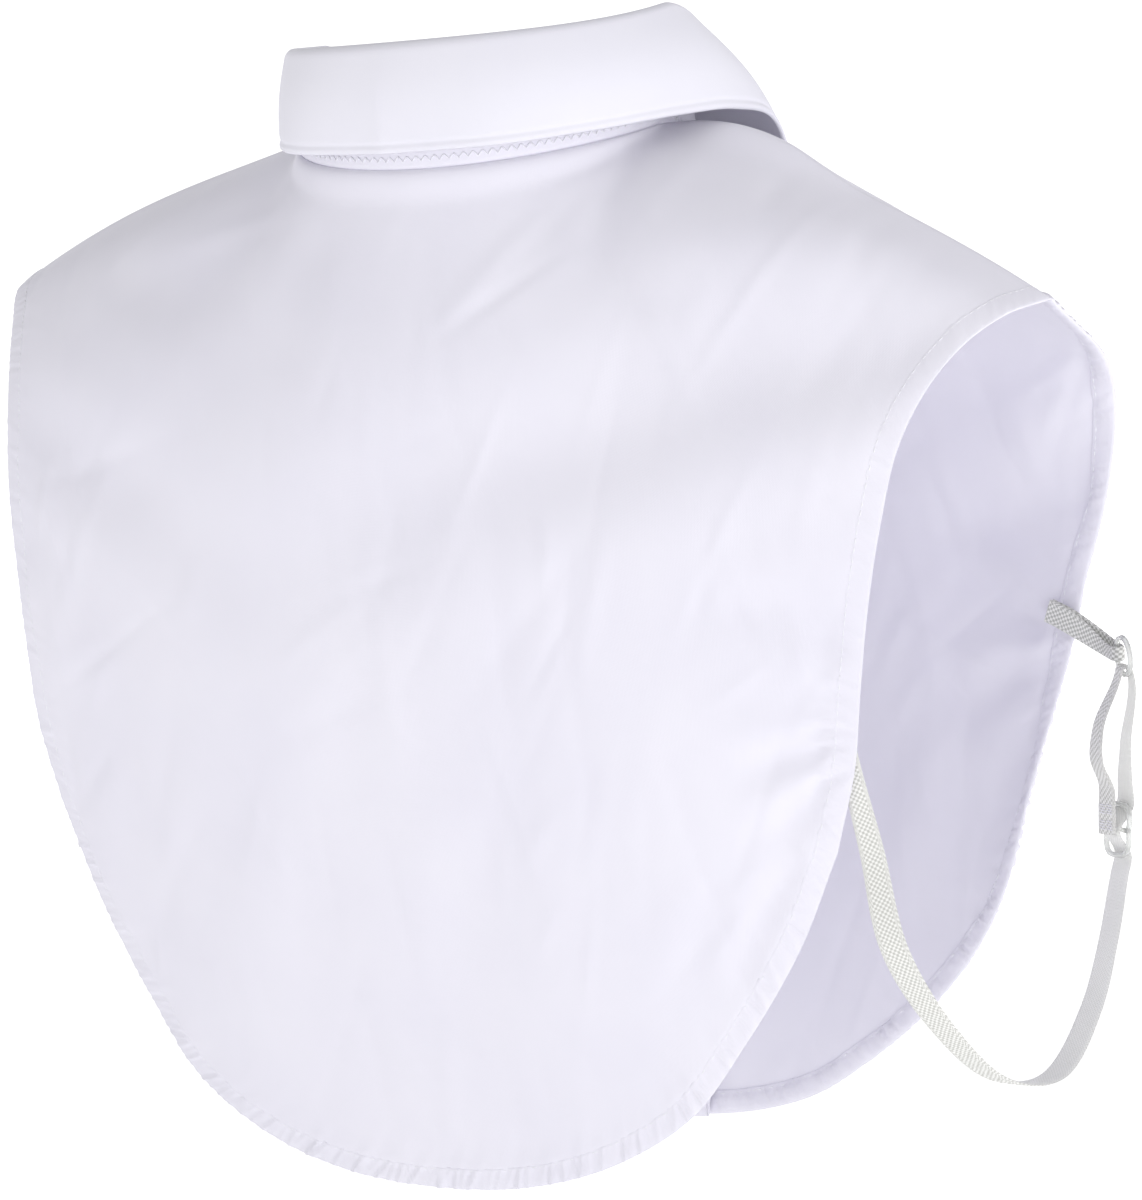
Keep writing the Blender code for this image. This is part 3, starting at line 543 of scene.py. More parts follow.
def front_share_at(x, down):
    """Share across the fronts at which each row reaches a given x."""
    low, high = np.full(down.shape, -0.4), np.full(down.shape, 0.4)
    for _ in range(26):
        middle = (low + high) / 2.0
        short = front_points(middle, down)[..., 0] < x
        low, high = np.where(short, middle, low), np.where(short, high, middle)
    return (low + high) / 2.0


def front_right_points(share, down):
    """Right front from its closing edge (0) to its armhole edge (1)."""
    return front_points(blend(front_share_at(LAP_HALF, down), -1.0, share), down)


def front_left_points(share, down):
    """Left front, tucked in under the right one near the middle."""
    made = front_points(blend(front_share_at(-LAP_HALF, down), 1.0, share), down)
    made[..., 1] += LAP_TUCK * (1.0 - ease((made[..., 0] - LAP_HALF) / LAP_TUCK_REACH))
    return made


# Meshes

def grid_normals(grid, towards):
    """Unit normals of a grid of points, turned so that the middle one agrees with a direction."""
    normals = unit(np.cross(np.gradient(grid, axis=0), np.gradient(grid, axis=1)))
    middle = normals[grid.shape[0] // 2, grid.shape[1] // 2]
    return normals if middle @ np.array(towards) > 0.0 else -normals


def add_mesh(name, vertices, faces, surface, uvs=None):
    """Smooth-shaded mesh piece that rides on the part's body."""
    mesh = bpy.data.meshes.new(name)
    mesh.from_pydata((np.asarray(vertices) * MM).tolist(), [], [list(f) for f in faces])
    mesh.shade_smooth()
    if uvs is not None:
        layer = mesh.uv_layers.new(name="cloth")
        corners = np.empty(len(mesh.loops), dtype=np.int32)
        mesh.loops.foreach_get("vertex_index", corners)
        layer.data.foreach_set("uv", (np.asarray(uvs) * MM)[corners].ravel())
    mesh.materials.append(surface)
    made = bpy.data.objects.new(name, mesh)
    bpy.context.scene.collection.objects.link(made)
    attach(made, ROOT)
    return made


def shell(name, outer, inner, surface, rounding=0.45):
    """Closed cloth shell between two grids, with a rounded rim."""
    rows, columns = outer.shape[:2]
    steps_u = np.linalg.norm(np.diff(outer, axis=0), axis=2)
    steps_v = np.linalg.norm(np.diff(outer, axis=1), axis=2)
    u = np.vstack([np.zeros((1, columns)), np.cumsum(steps_u, axis=0)])
    u -= u[rows // 2][None, :]
    v = np.hstack([np.zeros((rows, 1)), np.cumsum(steps_v, axis=1)])
    index = np.arange(rows * columns).reshape(rows, columns)
    a, b, c, d = index[:-1, :-1], index[1:, :-1], index[1:, 1:], index[:-1, 1:]
    face = np.stack([a, b, c, d], axis=-1).reshape(-1, 4)
    count = rows * columns
    flat = (outer[1, 0] - outer[0, 0])
    turned = np.cross(flat, outer[0, 1] - outer[0, 0]) @ (outer[0, 0] - inner[0, 0]) > 0.0
    faces = [face, face[:, ::-1] + count] if turned else [face[:, ::-1], face + count]
    loop = np.concatenate([index[:, 0], index[-1, 1:], index[-2::-1, -1], index[0, -2:0:-1]])
    near = np.concatenate([index[:, 1], index[-2, 1:], index[-2::-1, -2], index[1, -2:0:-1]])
    flat_outer, flat_inner = outer.reshape(-1, 3), inner.reshape(-1, 3)
    away = unit(flat_outer[loop] - flat_outer[near])
    gap = np.linalg.norm(flat_outer[loop] - flat_inner[loop], axis=1, keepdims=True)
    rim = (flat_outer[loop] + flat_inner[loop]) / 2.0 + away * gap * rounding
    around = np.arange(len(loop))
    after = (around + 1) % len(loop)
    first = np.stack([loop[around], around + 2 * count, after + 2 * count, loop[after]], axis=-1)
    second = np.stack([around + 2 * count, loop[around] + count, loop[after] + count, after + 2 * count], axis=-1)
    faces += [first, second] if turned else [first[:, ::-1], second[:, ::-1]]
    uv = np.stack([u.ravel(), v.ravel()], axis=-1)
    vertices = np.vstack([flat_outer, flat_inner, rim])
    return add_mesh(name, vertices, np.vstack(faces), surface, np.vstack([uv, uv, uv[loop]]))


def edge_line(pieces, spacing=0.5):
    """Evenly spaced points along joined stretches of an edge, with their distance along it."""
    line = np.vstack(pieces)
    steps = np.linalg.norm(np.diff(line, axis=0), axis=1)
    keep = np.concatenate([[True], steps > 1e-6])
    line = line[keep]
    along = np.concatenate([[0.0], np.cumsum(np.linalg.norm(np.diff(line, axis=0), axis=1))])
    places = np.arange(0.0, along[-1], spacing)
    return np.stack([np.interp(places, along, line[:, k]) for k in range(3)], axis=-1), places


def edge_distance(grid, line, along, reach=40.0):
    """Distance of each grid point from an edge, and the place along the edge that is nearest."""
    tree = KDTree(len(line))
    for number, point in enumerate(line):
        tree.insert(point, number)
    tree.balance()
    flat = grid.reshape(-1, 3)
    distance, place = np.full(len(flat), reach), np.zeros(len(flat))
    for number, point in enumerate(flat):
        _, found, far = tree.find(point)
        distance[number], place[number] = far, along[found]
    return distance.reshape(grid.shape[:2]), place.reshape(grid.shape[:2])


# Folds, hems and puckers, as heights over a panel's plain face

def fold_heights(grid, folds):
    """Soft troughs and ridges of a panel, each with its own length, width and depth."""
    height = np.zeros(grid.shape[:2])
    x, z = grid[..., 0], grid[..., 2]
    for x0, z0, x1, z1, width, depth in folds:
        length = math.hypot(x1 - x0, z1 - z0)
        dx, dz = (x1 - x0) / length, (z1 - z0) / length
        t = ((x - x0) * dx + (z - z0) * dz) / length
        q = -(x - x0) * dz + (z - z0) * dx
        q = q - 0.06 * length * np.sin(np.pi * np.clip(t, 0.0, 1.0))
        taper = ease((t + 0.22) / 0.5) * ease((1.22 - t) / 0.5)
        wide = width * (0.75 + 0.5 * np.clip(t, 0.0, 1.0))
        trough = -np.exp(-(q / wide) ** 2)
        lips = 0.35 * (np.exp(-((q - 1.8 * wide) / wide) ** 2) + np.exp(-((q + 1.8 * wide) / wide) ** 2))
        height += depth * taper * (trough + lips)
    return height


def crumple_heights(grid, chance, count, low, high):
    """Faint short creases of worn-in cotton, most of them running down the cloth."""
    height = np.zeros(grid.shape[:2])
    x, z = grid[..., 0], grid[..., 2]
    for _ in range(count):
        cx = chance.uniform(x.min(), x.max())
        cz = chance.uniform(z.min(), z.max())
        angle = math.radians(chance.gauss(90.0, 26.0))
        long, wide = chance.uniform(9.0, 30.0), chance.uniform(2.0, 4.5)
        rise = chance.choice((-1.0, 1.0)) * chance.uniform(low, high)
        p = (x - cx) * math.cos(angle) + (z - cz) * math.sin(angle)
        q = -(x - cx) * math.sin(angle) + (z - cz) * math.cos(angle)
        height += rise * np.exp(-(p / long) ** 2 - (q / wide) ** 2)
    return height


def make_puckers(chance, length, strength):
    """Slanted puckers along a hem: place, slant, width, height and reach into the panel."""
    made = []
    start = 2.0
    while start < length:
        rise = chance.uniform(0.25, 1.0) * strength(start / length)
        made.append((start, chance.uniform(0.3, 0.9), chance.uniform(0.6, 1.3), rise, chance.uniform(1.0, 6.0)))
        start += chance.uniform(1.9, 4.0)
    return made


def pucker_heights(distance, place, puckers, widest=0.0):
    """Height of the puckers at places given by their distance from the edge and along it."""
    height = np.zeros(distance.shape)
    for start, slant, wide, rise, reach in puckers:
        wide = max(wide, widest)
        near = (np.abs(place - start) < 16.0) & (distance < 22.0)
        d, a = distance[near], place[near]
        inward = np.exp(-np.maximum(d - HEM_STITCH, 0.0) / reach)
        q = a - start + slant * (d - 4.0)
        height[near] += rise * inward * np.exp(-(q / wide) ** 2)
    return height


def seam_heights(grid):
    """Seam at the top of a panel: the cloth dips into it and swells beside it."""
    below = np.concatenate([np.zeros((grid.shape[0], 1)),
                            np.cumsum(np.linalg.norm(np.diff(grid, axis=1), axis=2), axis=1)], axis=1)
    return 0.12 * np.exp(-((below - 2.6) / 1.4) ** 2) - 0.16 * np.exp(-(below / 0.9) ** 2)


class Face:
    """One side of a cloth panel, to find places on it."""

    def __init__(self, grid, normals):
        rows, columns = grid.shape[:2]
        self.columns = columns
        self.normals = normals
        index = np.arange(rows * columns).reshape(rows, columns)
        quads = np.stack([index[:-1, :-1], index[1:, :-1], index[1:, 1:], index[:-1, 1:]], axis=-1).reshape(-1, 4)
        self.tree = BVHTree.FromPolygons(grid.reshape(-1, 3).tolist(), quads.tolist())

    def nearest(self, point):
        """Nearest point of the face and its normal there."""
        place, _, number, _ = self.tree.find_nearest(point)
        i, j = divmod(number, self.columns - 1)
        return np.array(place), unit(self.normals[i:i + 2, j:j + 2].sum(axis=(0, 1)))


def inward_frame(face, line, middle):
    """Tangents, normals and directions into the panel at points of its edge."""
    tangents = unit(np.gradient(line, axis=0))
    normals = np.array([face.nearest(point)[1] for point in line])
    inward = unit(np.cross(tangents, normals))
    flip = np.sum(inward * (np.array(middle) - line), axis=1) < 0.0
    inward[flip] *= -1.0
    return tangents, normals, inward


def add_hem(name, face, line, along, middle, puckers, stretch=1.0):
    """Turned hem: a folded strip of the same cloth that wraps a panel's edge."""
    places = np.arange(0.0, along[-1], HEM_STEP)
    line = np.stack([np.interp(places, along, line[:, k]) for k in range(3)], axis=-1)
    _, normals, inward = inward_frame(face, line, middle)
    section = np.array(HEM_SECTION)
    reach = np.where(section[:, 0] > 1.0, section[:, 0] * stretch, section[:, 0])
    distance, place = np.meshgrid(reach, places)
    rise = pucker_heights(distance, place, puckers) * section[:, 2] + section[:, 1]
    vertices = np.empty((len(places), len(section), 3))
    for i, start in enumerate(line):
        for j, d in enumerate(reach):
            if d > 0.0:
                point, normal = face.nearest(start + inward[i] * d)
            else:
                point, normal = start + inward[i] * d, normals[i]
            vertices[i, j] = point + normal * rise[i, j]
    count = len(section)
    index = np.arange(len(places) * count).reshape(len(places), count)
    around = np.roll(index, -1, axis=1)
    quads = np.stack([index[:-1], index[1:], around[1:], around[:-1]], axis=-1).reshape(-1, 4)
    turned = np.cross(vertices[1, 4] - vertices[0, 4], vertices[0, 5] - vertices[0, 4]) @ normals[0] > 0.0
    if not turned:
        quads = quads[:, ::-1]
    faces = quads.tolist() + [index[0].tolist(), index[-1].tolist()[::-1]]
    uvs = np.stack([place.ravel(), distance.ravel()], axis=-1)
    return add_mesh(name, vertices.reshape(-1, 3), faces, poplin, uvs)


def relaxed(grid, distance, reach=26):
    """Panel surface with the creases that run down from the neck smoothed out, away from its edges."""
    weights = np.exp(-(np.arange(-reach, reach + 1) / 11.0) ** 2)
    padded = np.pad(grid, ((reach, reach), (0, 0), (0, 0)), mode="reflect", reflect_type="odd")
    smooth = sum(w * padded[k:k + grid.shape[0]] for k, w in enumerate(weights)) / weights.sum()
    below = np.linalg.norm(grid - grid[:, :1], axis=2)
    share = ease((distance - 4.0) / 26.0) * ease((below - 1.5) / 12.0)
    return blend(grid, smooth, share[..., None])


def panel_shell(name, place, columns, rows, edges, folds, seed, towards, pucker_strength):
    """Cloth panel with its folds and hem; returns the piece, its outer and inner face, and its edge."""
    grid = place(columns[:, None], np.broadcast_to(rows[None, :], (len(columns), len(rows))))
    line, along = edge_line(edges)
    distance, spot = edge_distance(grid, line, along)
    grid = relaxed(grid, distance)
    normals = grid_normals(grid, towards)
    chance = random.Random(seed)
    rest = fold_heights(grid, folds) * 1.7 + crumple_heights(grid, chance, 250, 0.15, 0.6)
    puckers = make_puckers(chance, along[-1], pucker_strength)
    settled = ease(np.linspace(0.0, 1.0, len(rows)) / 0.10)[None, :]
    height = rest * settled * ease((distance + 2.0) / 14.0)
    ripples = pucker_heights(distance, spot, puckers, widest=1.9) * settled
    height += ripples * ease((distance - 5.0) / 3.0) + seam_heights(grid)
    height -= 0.05 * np.exp(-((distance - HEM_STITCH - 0.4) / 1.3) ** 2)
    outer = grid + normals * (height - 0.15)[..., None]
    inner = outer - normals * CLOTH
    made = shell(name, outer, inner, poplin)
    outside, inside = Face(outer, normals), Face(inner, -normals)
    middle = grid[len(columns) // 2, len(rows) // 2]
    add_hem(name + "_hem", outside, line, along, middle, puckers)
    return made, outside, inside, line, along, middle


# Sewing

def capsules(stations):
    """Vertices and faces of short threads: middle, direction, normal, length and radius of each."""
    sides = 6
    profile = ((-0.5, 0.0), (-0.4, 0.75), (0.0, 1.0), (0.4, 0.75), (0.5, 0.0))
    vertices, faces = [], []
    for middle, direction, normal, length, radius in stations:
        direction = unit(np.array(direction))
        across = unit(np.cross(normal, direction))
        normal = np.cross(direction, across)
        start = len(vertices)
        vertices.append(middle + direction * (profile[0][0] * length))
        for along, wide in profile[1:-1]:
            for k in range(sides):
                angle = 2.0 * math.pi * k / sides
                spoke = across * math.cos(angle) + normal * math.sin(angle)
                vertices.append(middle + direction * (along * length) + spoke * (wide * radius))
        vertices.append(middle + direction * (profile[-1][0] * length))
        end = len(vertices) - 1
        for k in range(sides):
            after = (k + 1) % sides
            faces.append((start, start + 1 + after, start + 1 + k))
            for ring in range(len(profile) - 3):
                a, b = start + 1 + ring * sides + k, start + 1 + ring * sides + after
                faces.append((a, b, b + sides, a + sides))
            faces.append((end, end - sides + k, end - sides + after))
    return vertices, faces


def add_stitches(name, face, line, lift=0.02, pitch=STITCH_PITCH, length=STITCH_LENGTH, slant=0.0):
    """Row of stitches laid along a line on one face of the cloth, zigzag where they slant."""
    along = np.concatenate([[0.0], np.cumsum(np.linalg.norm(np.diff(line, axis=0), axis=1))])
    places = np.arange(pitch, along[-1] - pitch, pitch)
    middle = np.stack([np.interp(places, along, line[:, k]) for k in range(3)], axis=-1)
    directions = unit(np.gradient(middle, axis=0))
    lean = math.radians(slant)
    stations = []
    for point, direction in zip(middle, directions):
        place, normal = face.nearest(point)
        turned = direction * math.cos(lean) + np.cross(normal, direction) * math.sin(lean)
        lean = -lean
        stations.append((place + normal * lift, turned, normal, length, THREAD_RADIUS))
    vertices, faces = capsules(stations)
    return add_mesh(name, vertices, faces, thread_cotton)


def inset_line(face, line, along, middle, inset, rise):
    """Line at a distance inside an edge, lifted off the face so that it finds the hem's top."""
    places = np.arange(0.0, along[-1], 2.0)
    edge = np.stack([np.interp(places, along, line[:, k]) for k in range(3)], axis=-1)
    _, _, inward = inward_frame(face, edge, middle)
    made = []
    for point, direction in zip(edge, inward):
        place, normal = face.nearest(point + direction * inset)
        made.append(place + normal * rise)
    return np.array(made)


# Materials

def new_material(name):
    """Empty Principled material; returns it with its nodes, links and shader."""
    made = bpy.data.materials.new(name)
    made.use_nodes = True
    tree = made.node_tree
    return made, tree.nodes, tree.links, tree.nodes["Principled BSDF"]


def cloth_material(name, dark, light, thread, strength, roughness, sheen, open_weave=False):
    """Plain weave: threads over and under at a real pitch, with slubs and faint shade changes.

    An open weave takes its shade from the threads themselves, laid slantwise.
    """
    made, nodes, links, shader = new_material(name)
    places = nodes.new("ShaderNodeTexCoord")
    turned = nodes.new("ShaderNodeMapping")
    turned.inputs["Rotation"].default_value = (0.0, 0.0, math.radians(38.0 if open_weave else 0.0))
    links.new(places.outputs["UV"], turned.inputs["Vector"])
    warp, weft = nodes.new("ShaderNodeTexWave"), nodes.new("ShaderNodeTexWave")
    for wave, direction in ((warp, "X"), (weft, "Y")):
        wave.bands_direction = direction
        wave.inputs["Scale"].default_value = 0.314 / (thread * MM)
        wave.inputs["Distortion"].default_value = 1.2
        wave.inputs["Detail"].default_value = 1.0
        links.new(turned.outputs["Vector"], wave.inputs["Vector"])
    cross = nodes.new("ShaderNodeMix")
    cross.data_type = "FLOAT"
    cross.inputs[0].default_value = 0.5
    links.new(warp.outputs["Fac"], cross.inputs[2])
    links.new(weft.outputs["Fac"], cross.inputs[3])
    slub = nodes.new("ShaderNodeTexNoise")
    slub.inputs["Scale"].default_value = 260.0
    slub.inputs["Detail"].default_value = 3.0
    links.new(places.outputs["Object"], slub.inputs["Vector"])
    grain = nodes.new("ShaderNodeMix")
    grain.data_type = "FLOAT"
    grain.inputs[0].default_value = 0.45
    links.new(cross.outputs[0], grain.inputs[2])
    links.new(slub.outputs["Fac"], grain.inputs[3])
    bump = nodes.new("ShaderNodeBump")
    bump.inputs["Strength"].default_value = strength
    bump.inputs["Distance"].default_value = 0.00012
    links.new(grain.outputs[0], bump.inputs["Height"])
    links.new(bump.outputs["Normal"], shader.inputs["Normal"])
    shade = nodes.new("ShaderNodeTexNoise")
    shade.inputs["Scale"].default_value = 16.0
    shade.inputs["Detail"].default_value = 4.0
    links.new(places.outputs["Object"], shade.inputs["Vector"])
    ramp = nodes.new("ShaderNodeValToRGB")
    ramp.color_ramp.elements[0].position = 0.3
    ramp.color_ramp.elements[0].color = (*dark, 1.0)
    ramp.color_ramp.elements[1].position = 0.7
    ramp.color_ramp.elements[1].color = (*light, 1.0)
    links.new(cross.outputs[0] if open_weave else shade.outputs["Fac"], ramp.inputs["Fac"])
    links.new(ramp.outputs["Color"], shader.inputs["Base Color"])
    shader.inputs["Roughness"].default_value = roughness
    shader.inputs["Sheen Weight"].default_value = sheen
    shader.inputs["Sheen Roughness"].default_value = 0.6
    return made


def plastic_material(name, colour, roughness, transmission):
    """Moulded plastic, milky where it is clear, with a faint flow pattern."""
    made, nodes, links, shader = new_material(name)
    places = nodes.new("ShaderNodeTexCoord")
    flow = nodes.new("ShaderNodeTexNoise")
    flow.inputs["Scale"].default_value = 420.0
    flow.inputs["Detail"].default_value = 2.0
    links.new(places.outputs["Object"], flow.inputs["Vector"])
    ramp = nodes.new("ShaderNodeValToRGB")
    ramp.color_ramp.elements[0].color = (*[c * 0.94 for c in colour], 1.0)
    ramp.color_ramp.elements[1].color = (*colour, 1.0)
    links.new(flow.outputs["Fac"], ramp.inputs["Fac"])
    links.new(ramp.outputs["Color"], shader.inputs["Base Color"])
    bump = nodes.new("ShaderNodeBump")
    bump.inputs["Strength"].default_value = 0.08
    bump.inputs["Distance"].default_value = 0.0001
    links.new(flow.outputs["Fac"], bump.inputs["Height"])
    links.new(bump.outputs["Normal"], shader.inputs["Normal"])
    shader.inputs["Roughness"].default_value = roughness
    shader.inputs["Transmission Weight"].default_value = transmission
    shader.inputs["IOR"].default_value = 1.49
    shader.inputs["Coat Weight"].default_value = 0.3
    return made


poplin = cloth_material("poplin", (0.805, 0.79, 0.885), (0.84, 0.825, 0.91), 0.45, 0.35, 0.85, 0.15)
stiff_poplin = cloth_material("stiff_poplin", (0.785, 0.775, 0.86), (0.815, 0.805, 0.88), 0.45, 0.3, 0.8, 0.15)
thread_cotton = cloth_material("thread_cotton", (0.84, 0.835, 0.90), (0.87, 0.865, 0.92), 0.2, 0.3, 0.7, 0.2)
elastic = cloth_material("elastic", (0.58, 0.58, 0.55), (0.93, 0.93, 0.91), 1.2, 0.8, 0.75, 0.2, open_weave=True)
elastic_back = cloth_material("elastic_back", (0.80, 0.80, 0.79), (0.92, 0.92, 0.91), 0.8, 0.5, 0.75, 0.2, open_weave=True)
# The tab is the strap's elastic coloured darker: painted shade.
tab_elastic_painted_shade = cloth_material("tab_elastic_painted_shade", (0.42, 0.42, 0.41), (0.80, 0.80, 0.79), 1.2, 0.8, 0.75, 0.2, open_weave=True)
clear_plastic = plastic_material("clear_plastic_moulded", (0.88, 0.89, 0.88), 0.22, 0.55)
button_plastic = plastic_material("button_polished", (0.86, 0.86, 0.885), 0.25, 0.0)
# The floor glows: painted light from an emission that also lights the garment from below. The glow is dimmed in a round
# pool under the garment, a painted soft shadow.
floor_with_painted_glow = cloth_material("floor_with_painted_glow", (0.93, 0.93, 0.93), (0.95, 0.95, 0.95), 3.0, 0.02, 0.9, 0.0)
floor_shader = floor_with_painted_glow.node_tree.nodes["Principled BSDF"]
floor_nodes, floor_links = floor_with_painted_glow.node_tree.nodes, floor_with_painted_glow.node_tree.links
floor_places, floor_spread = floor_nodes.new("ShaderNodeTexCoord"), floor_nodes.new("ShaderNodeMapping")
floor_spread.inputs["Scale"].default_value = (0.55, 0.55, 0.0)
floor_painted_shadow_pool, floor_painted_glow = floor_nodes.new("ShaderNodeTexGradient"), floor_nodes.new("ShaderNodeValToRGB")
floor_painted_shadow_pool.gradient_type = "SPHERICAL"
floor_painted_glow.color_ramp.elements[0].color = (1.0, 1.0, 1.0, 1.0)
floor_painted_glow.color_ramp.elements[1].color = (0.25, 0.25, 0.25, 1.0)
floor_links.new(floor_places.outputs["Object"], floor_spread.inputs["Vector"])
floor_links.new(floor_spread.outputs["Vector"], floor_painted_shadow_pool.inputs["Vector"])
floor_links.new(floor_painted_shadow_pool.outputs["Fac"], floor_painted_glow.inputs["Fac"])
floor_links.new(floor_painted_glow.outputs["Color"], floor_shader.inputs["Emission Color"])
floor_shader.inputs["Emission Strength"].default_value = 0.78


# Camera, light and floor

def set_camera():
    """Camera at the picture's angle, aimed at the middle of its frame."""
    b, h, r = CAMERA_BEARING, CAMERA_HEIGHT, CAMERA_ROLL
    back = Vector((-math.sin(b) * math.cos(h), math.cos(b) * math.cos(h), math.sin(h)))
    right = Vector((-math.cos(b), -math.sin(b), 0.0))
    up = Vector((math.sin(b) * math.sin(h), -math.cos(b) * math.sin(h), math.cos(h)))
    ix = PICTURE_WIDTH / 2.0 - NECK_IN_PICTURE[0]
    iy = NECK_IN_PICTURE[1] - PICTURE_HEIGHT / 2.0
    x = ix * math.cos(r) + iy * math.sin(r)
    y = -ix * math.sin(r) + iy * math.cos(r)
    aim = (right * (x / CAMERA_FOCUS) + up * (y / CAMERA_FOCUS) - back).normalized()
    rough_up = right * math.sin(r) + up * math.cos(r)
    side = aim.cross(rough_up).normalized()
    turned = Matrix((side, side.cross(aim), -aim)).transposed()
    camera = bpy.data.cameras.new("camera")
    camera.sensor_width = SENSOR
    camera.lens = CAMERA_FOCUS / PICTURE_HEIGHT * SENSOR
    camera.clip_end = 50.0
    made = bpy.data.objects.new("camera", camera)
    made.matrix_world = turned.to_4x4()
    made.location = back * CAMERA_DISTANCE
    bpy.context.scene.collection.objects.link(made)
    bpy.context.scene.camera = made


def add_area_light(name, bearing, height, distance, size, power):
    """Square soft light aimed at the garment, from a bearing behind the wearer's right and a height in degrees."""
    light = bpy.data.lights.new(name, "AREA")
    light.shape = "SQUARE"
    light.size = size
    light.energy = power
    made = bpy.data.objects.new(name, light)
    b, h = math.radians(bearing), math.radians(height)
    back = Vector((-math.sin(b) * math.cos(h), math.cos(b) * math.cos(h), math.sin(h)))
    made.location = LIGHT_TARGET + back * distance
    made.rotation_euler = back.to_track_quat("Z", "Y").to_euler()
    bpy.context.scene.collection.objects.link(made)


def set_stage():
    """Pale floor glowing with painted light and dimmed under the garment as a painted shadow, white surroundings and
    soft studio light.
    """
    scene = bpy.context.scene
    scene.view_settings.view_transform = "Standard"
    world = bpy.data.worlds.new("surroundings")
    world.use_nodes = True
    nodes, links = world.node_tree.nodes, world.node_tree.links
    places = nodes.new("ShaderNodeTexCoord")
    parts = nodes.new("ShaderNodeSeparateXYZ")
    links.new(places.outputs["Generated"], parts.inputs["Vector"])
    height = nodes.new("ShaderNodeValToRGB")
    height.color_ramp.elements[0].position = 0.12
    height.color_ramp.elements[0].color = (1.0, 1.0, 1.0, 1.0)
    height.color_ramp.elements[1].position = 0.42
    height.color_ramp.elements[1].color = (0.50, 0.50, 0.50, 1.0)
    links.new(parts.outputs["Z"], height.inputs["Fac"])
    links.new(height.outputs["Color"], nodes["Background"].inputs["Color"])
    nodes["Background"].inputs["Strength"].default_value = 1.0
    scene.world = world
    floor_level, floor_half = -0.62, 9.0
    mesh = bpy.data.meshes.new("floor")
    corners = [(-floor_half, -floor_half, floor_level), (floor_half, -floor_half, floor_level),
               (floor_half, floor_half, floor_level), (-floor_half, floor_half, floor_level)]
    mesh.from_pydata(corners, [], [(0, 1, 2, 3)])
    mesh.materials.append(floor_with_painted_glow)
    floor = bpy.data.objects.new("floor", mesh)
    scene.collection.objects.link(floor)
    add_area_light("key", 56.0, 12.0, 2.3, 0.5, 5.2)
    add_area_light("fill", 27.0, 5.0, 2.3, 0.5, 2.6)
    add_area_light("top", 10.0, 62.0, 2.4, 1.2, 1.5)
    add_area_light("side", 100.0, 18.0, 2.3, 0.9, 6.6)
    add_area_light("front", 215.0, 6.0, 2.6, 1.0, 8.5)


set_camera()
set_stage()


# Elastic straps and tabs

def heading_vectors(degrees, side):
    """Level unit vectors at angles from the wearer's side."""
    angle = np.radians(degrees)
    return points(np.cos(angle) * side, np.sin(angle), 0.0)


def inner_place(place, across, down, depth):
    """Point inside a panel at a depth under its outer face, and the heading of the row there."""
    across, down = np.array([across]), np.array([down])
    row = (place(across + 0.01, down) - place(across - 0.01, down))[0]
    column = (place(across, down + 0.01) - place(across, down - 0.01))[0]
    point = place(across, down)[0]
    inward = unit(np.cross(row, column))
    if inward[1] * point[1] > 0.0:
        inward = -inward
    return point + inward * depth, math.degrees(math.atan2(row[1], row[0]))


def strap_rows(route):
    """Whole path of one strap on the +X side: point, heading and width at each row."""
    rows = []
    for across, down, slack in STRAP_START:
        point, heading = inner_place(back_points, across, down, STRAP_INSET + slack)
        rows.append((*point, heading, STRAP_WIDTH_AT_EXIT))
    rows += [route[0] + ((STRAP_WIDTH_AT_EXIT + STRAP_WIDTH) / 2.0,)]
    rows += [row + (STRAP_WIDTH,) for row in route[1:]]
    slider = Vector(SLIDER_CENTRE)
    low = Vector(RING_CENTRE) - Vector((0.0, 0.0, RING_RADIUS))
    rise, reach = (low - slider).normalized(), (low - slider).length

    def place(level, offset, width):
        heading = blend(SLIDER_HEADING, RING_HEADING, float(ease(level / reach)))
        across = Vector(heading_vectors(heading, 1.0))
        point = slider + rise * level - rise.cross(across).normalized() * offset
        return (*point, heading, width)

    rows += [place(*row) for row in SLIDER_PASS]
    turn = RING_WIRE + STRAP_THICKNESS / 2.0 + 0.45
    sideways = Vector(heading_vectors(RING_HEADING - 90.0, 1.0))
    for k in range(7):
        angle = math.pi * k / 6.0
        point = low + sideways * (turn * math.cos(angle))
        point.z += 0.95 + turn * math.sin(angle)
        rows.append((*point, RING_HEADING, STRAP_WIDTH_AT_RING))
    rows += [place(*row) for row in RETURN_PASS]
    return rows


def tab_rows():
    """Folded tab on the +X side, from inside the front edge round the ring and back."""
    through = heading_vectors(RING_HEADING, 1.0)
    cross = np.array((-through[1], through[0], 0.0))
    centre = np.array(RING_CENTRE) - through * (RING_RADIUS - 0.95)
    turn = RING_WIRE + STRAP_THICKNESS / 2.0 + 0.45
    layers = []
    for sign, depth in ((-1.0, STRAP_INSET), (1.0, STRAP_INSET + STRAP_THICKNESS + SEAM_GAP + 0.1)):
        layer = []
        for across, slack in TAB_START:
            point, _ = inner_place(front_points, across, TAB_SHARE_DOWN, depth + slack)
            point[2] = RING_CENTRE[2] + (point[0] - RING_CENTRE[0]) * TAB_SLOPE
            layer.append((*point, TAB_WIDTH))
        layer.append((*(centre - through * 3.0 + cross * (sign * turn)), TAB_WIDTH_AT_RING))
        layers.append(layer)
    bend = []
    for k in range(7):
        angle = -math.pi / 2.0 + math.pi * k / 6.0
        point = centre + through * (turn * math.cos(angle)) + cross * (turn * math.sin(angle))
        bend.append((*point, TAB_WIDTH_AT_RING))
    return layers[0] + bend + layers[1][::-1]


def smooth_rows(rows, spacing):
    """Evenly spaced rows of a smooth curve through table rows whose first three columns are a point."""
    rows = np.array(rows)
    steps = np.linalg.norm(np.diff(rows[:, :3], axis=0), axis=1)
    along = np.concatenate([[0.0], np.cumsum(steps)])
    places = np.linspace(0.0, along[-1], int(along[-1] / spacing) + 1)
    return read_table(np.column_stack([along, rows]), places), places


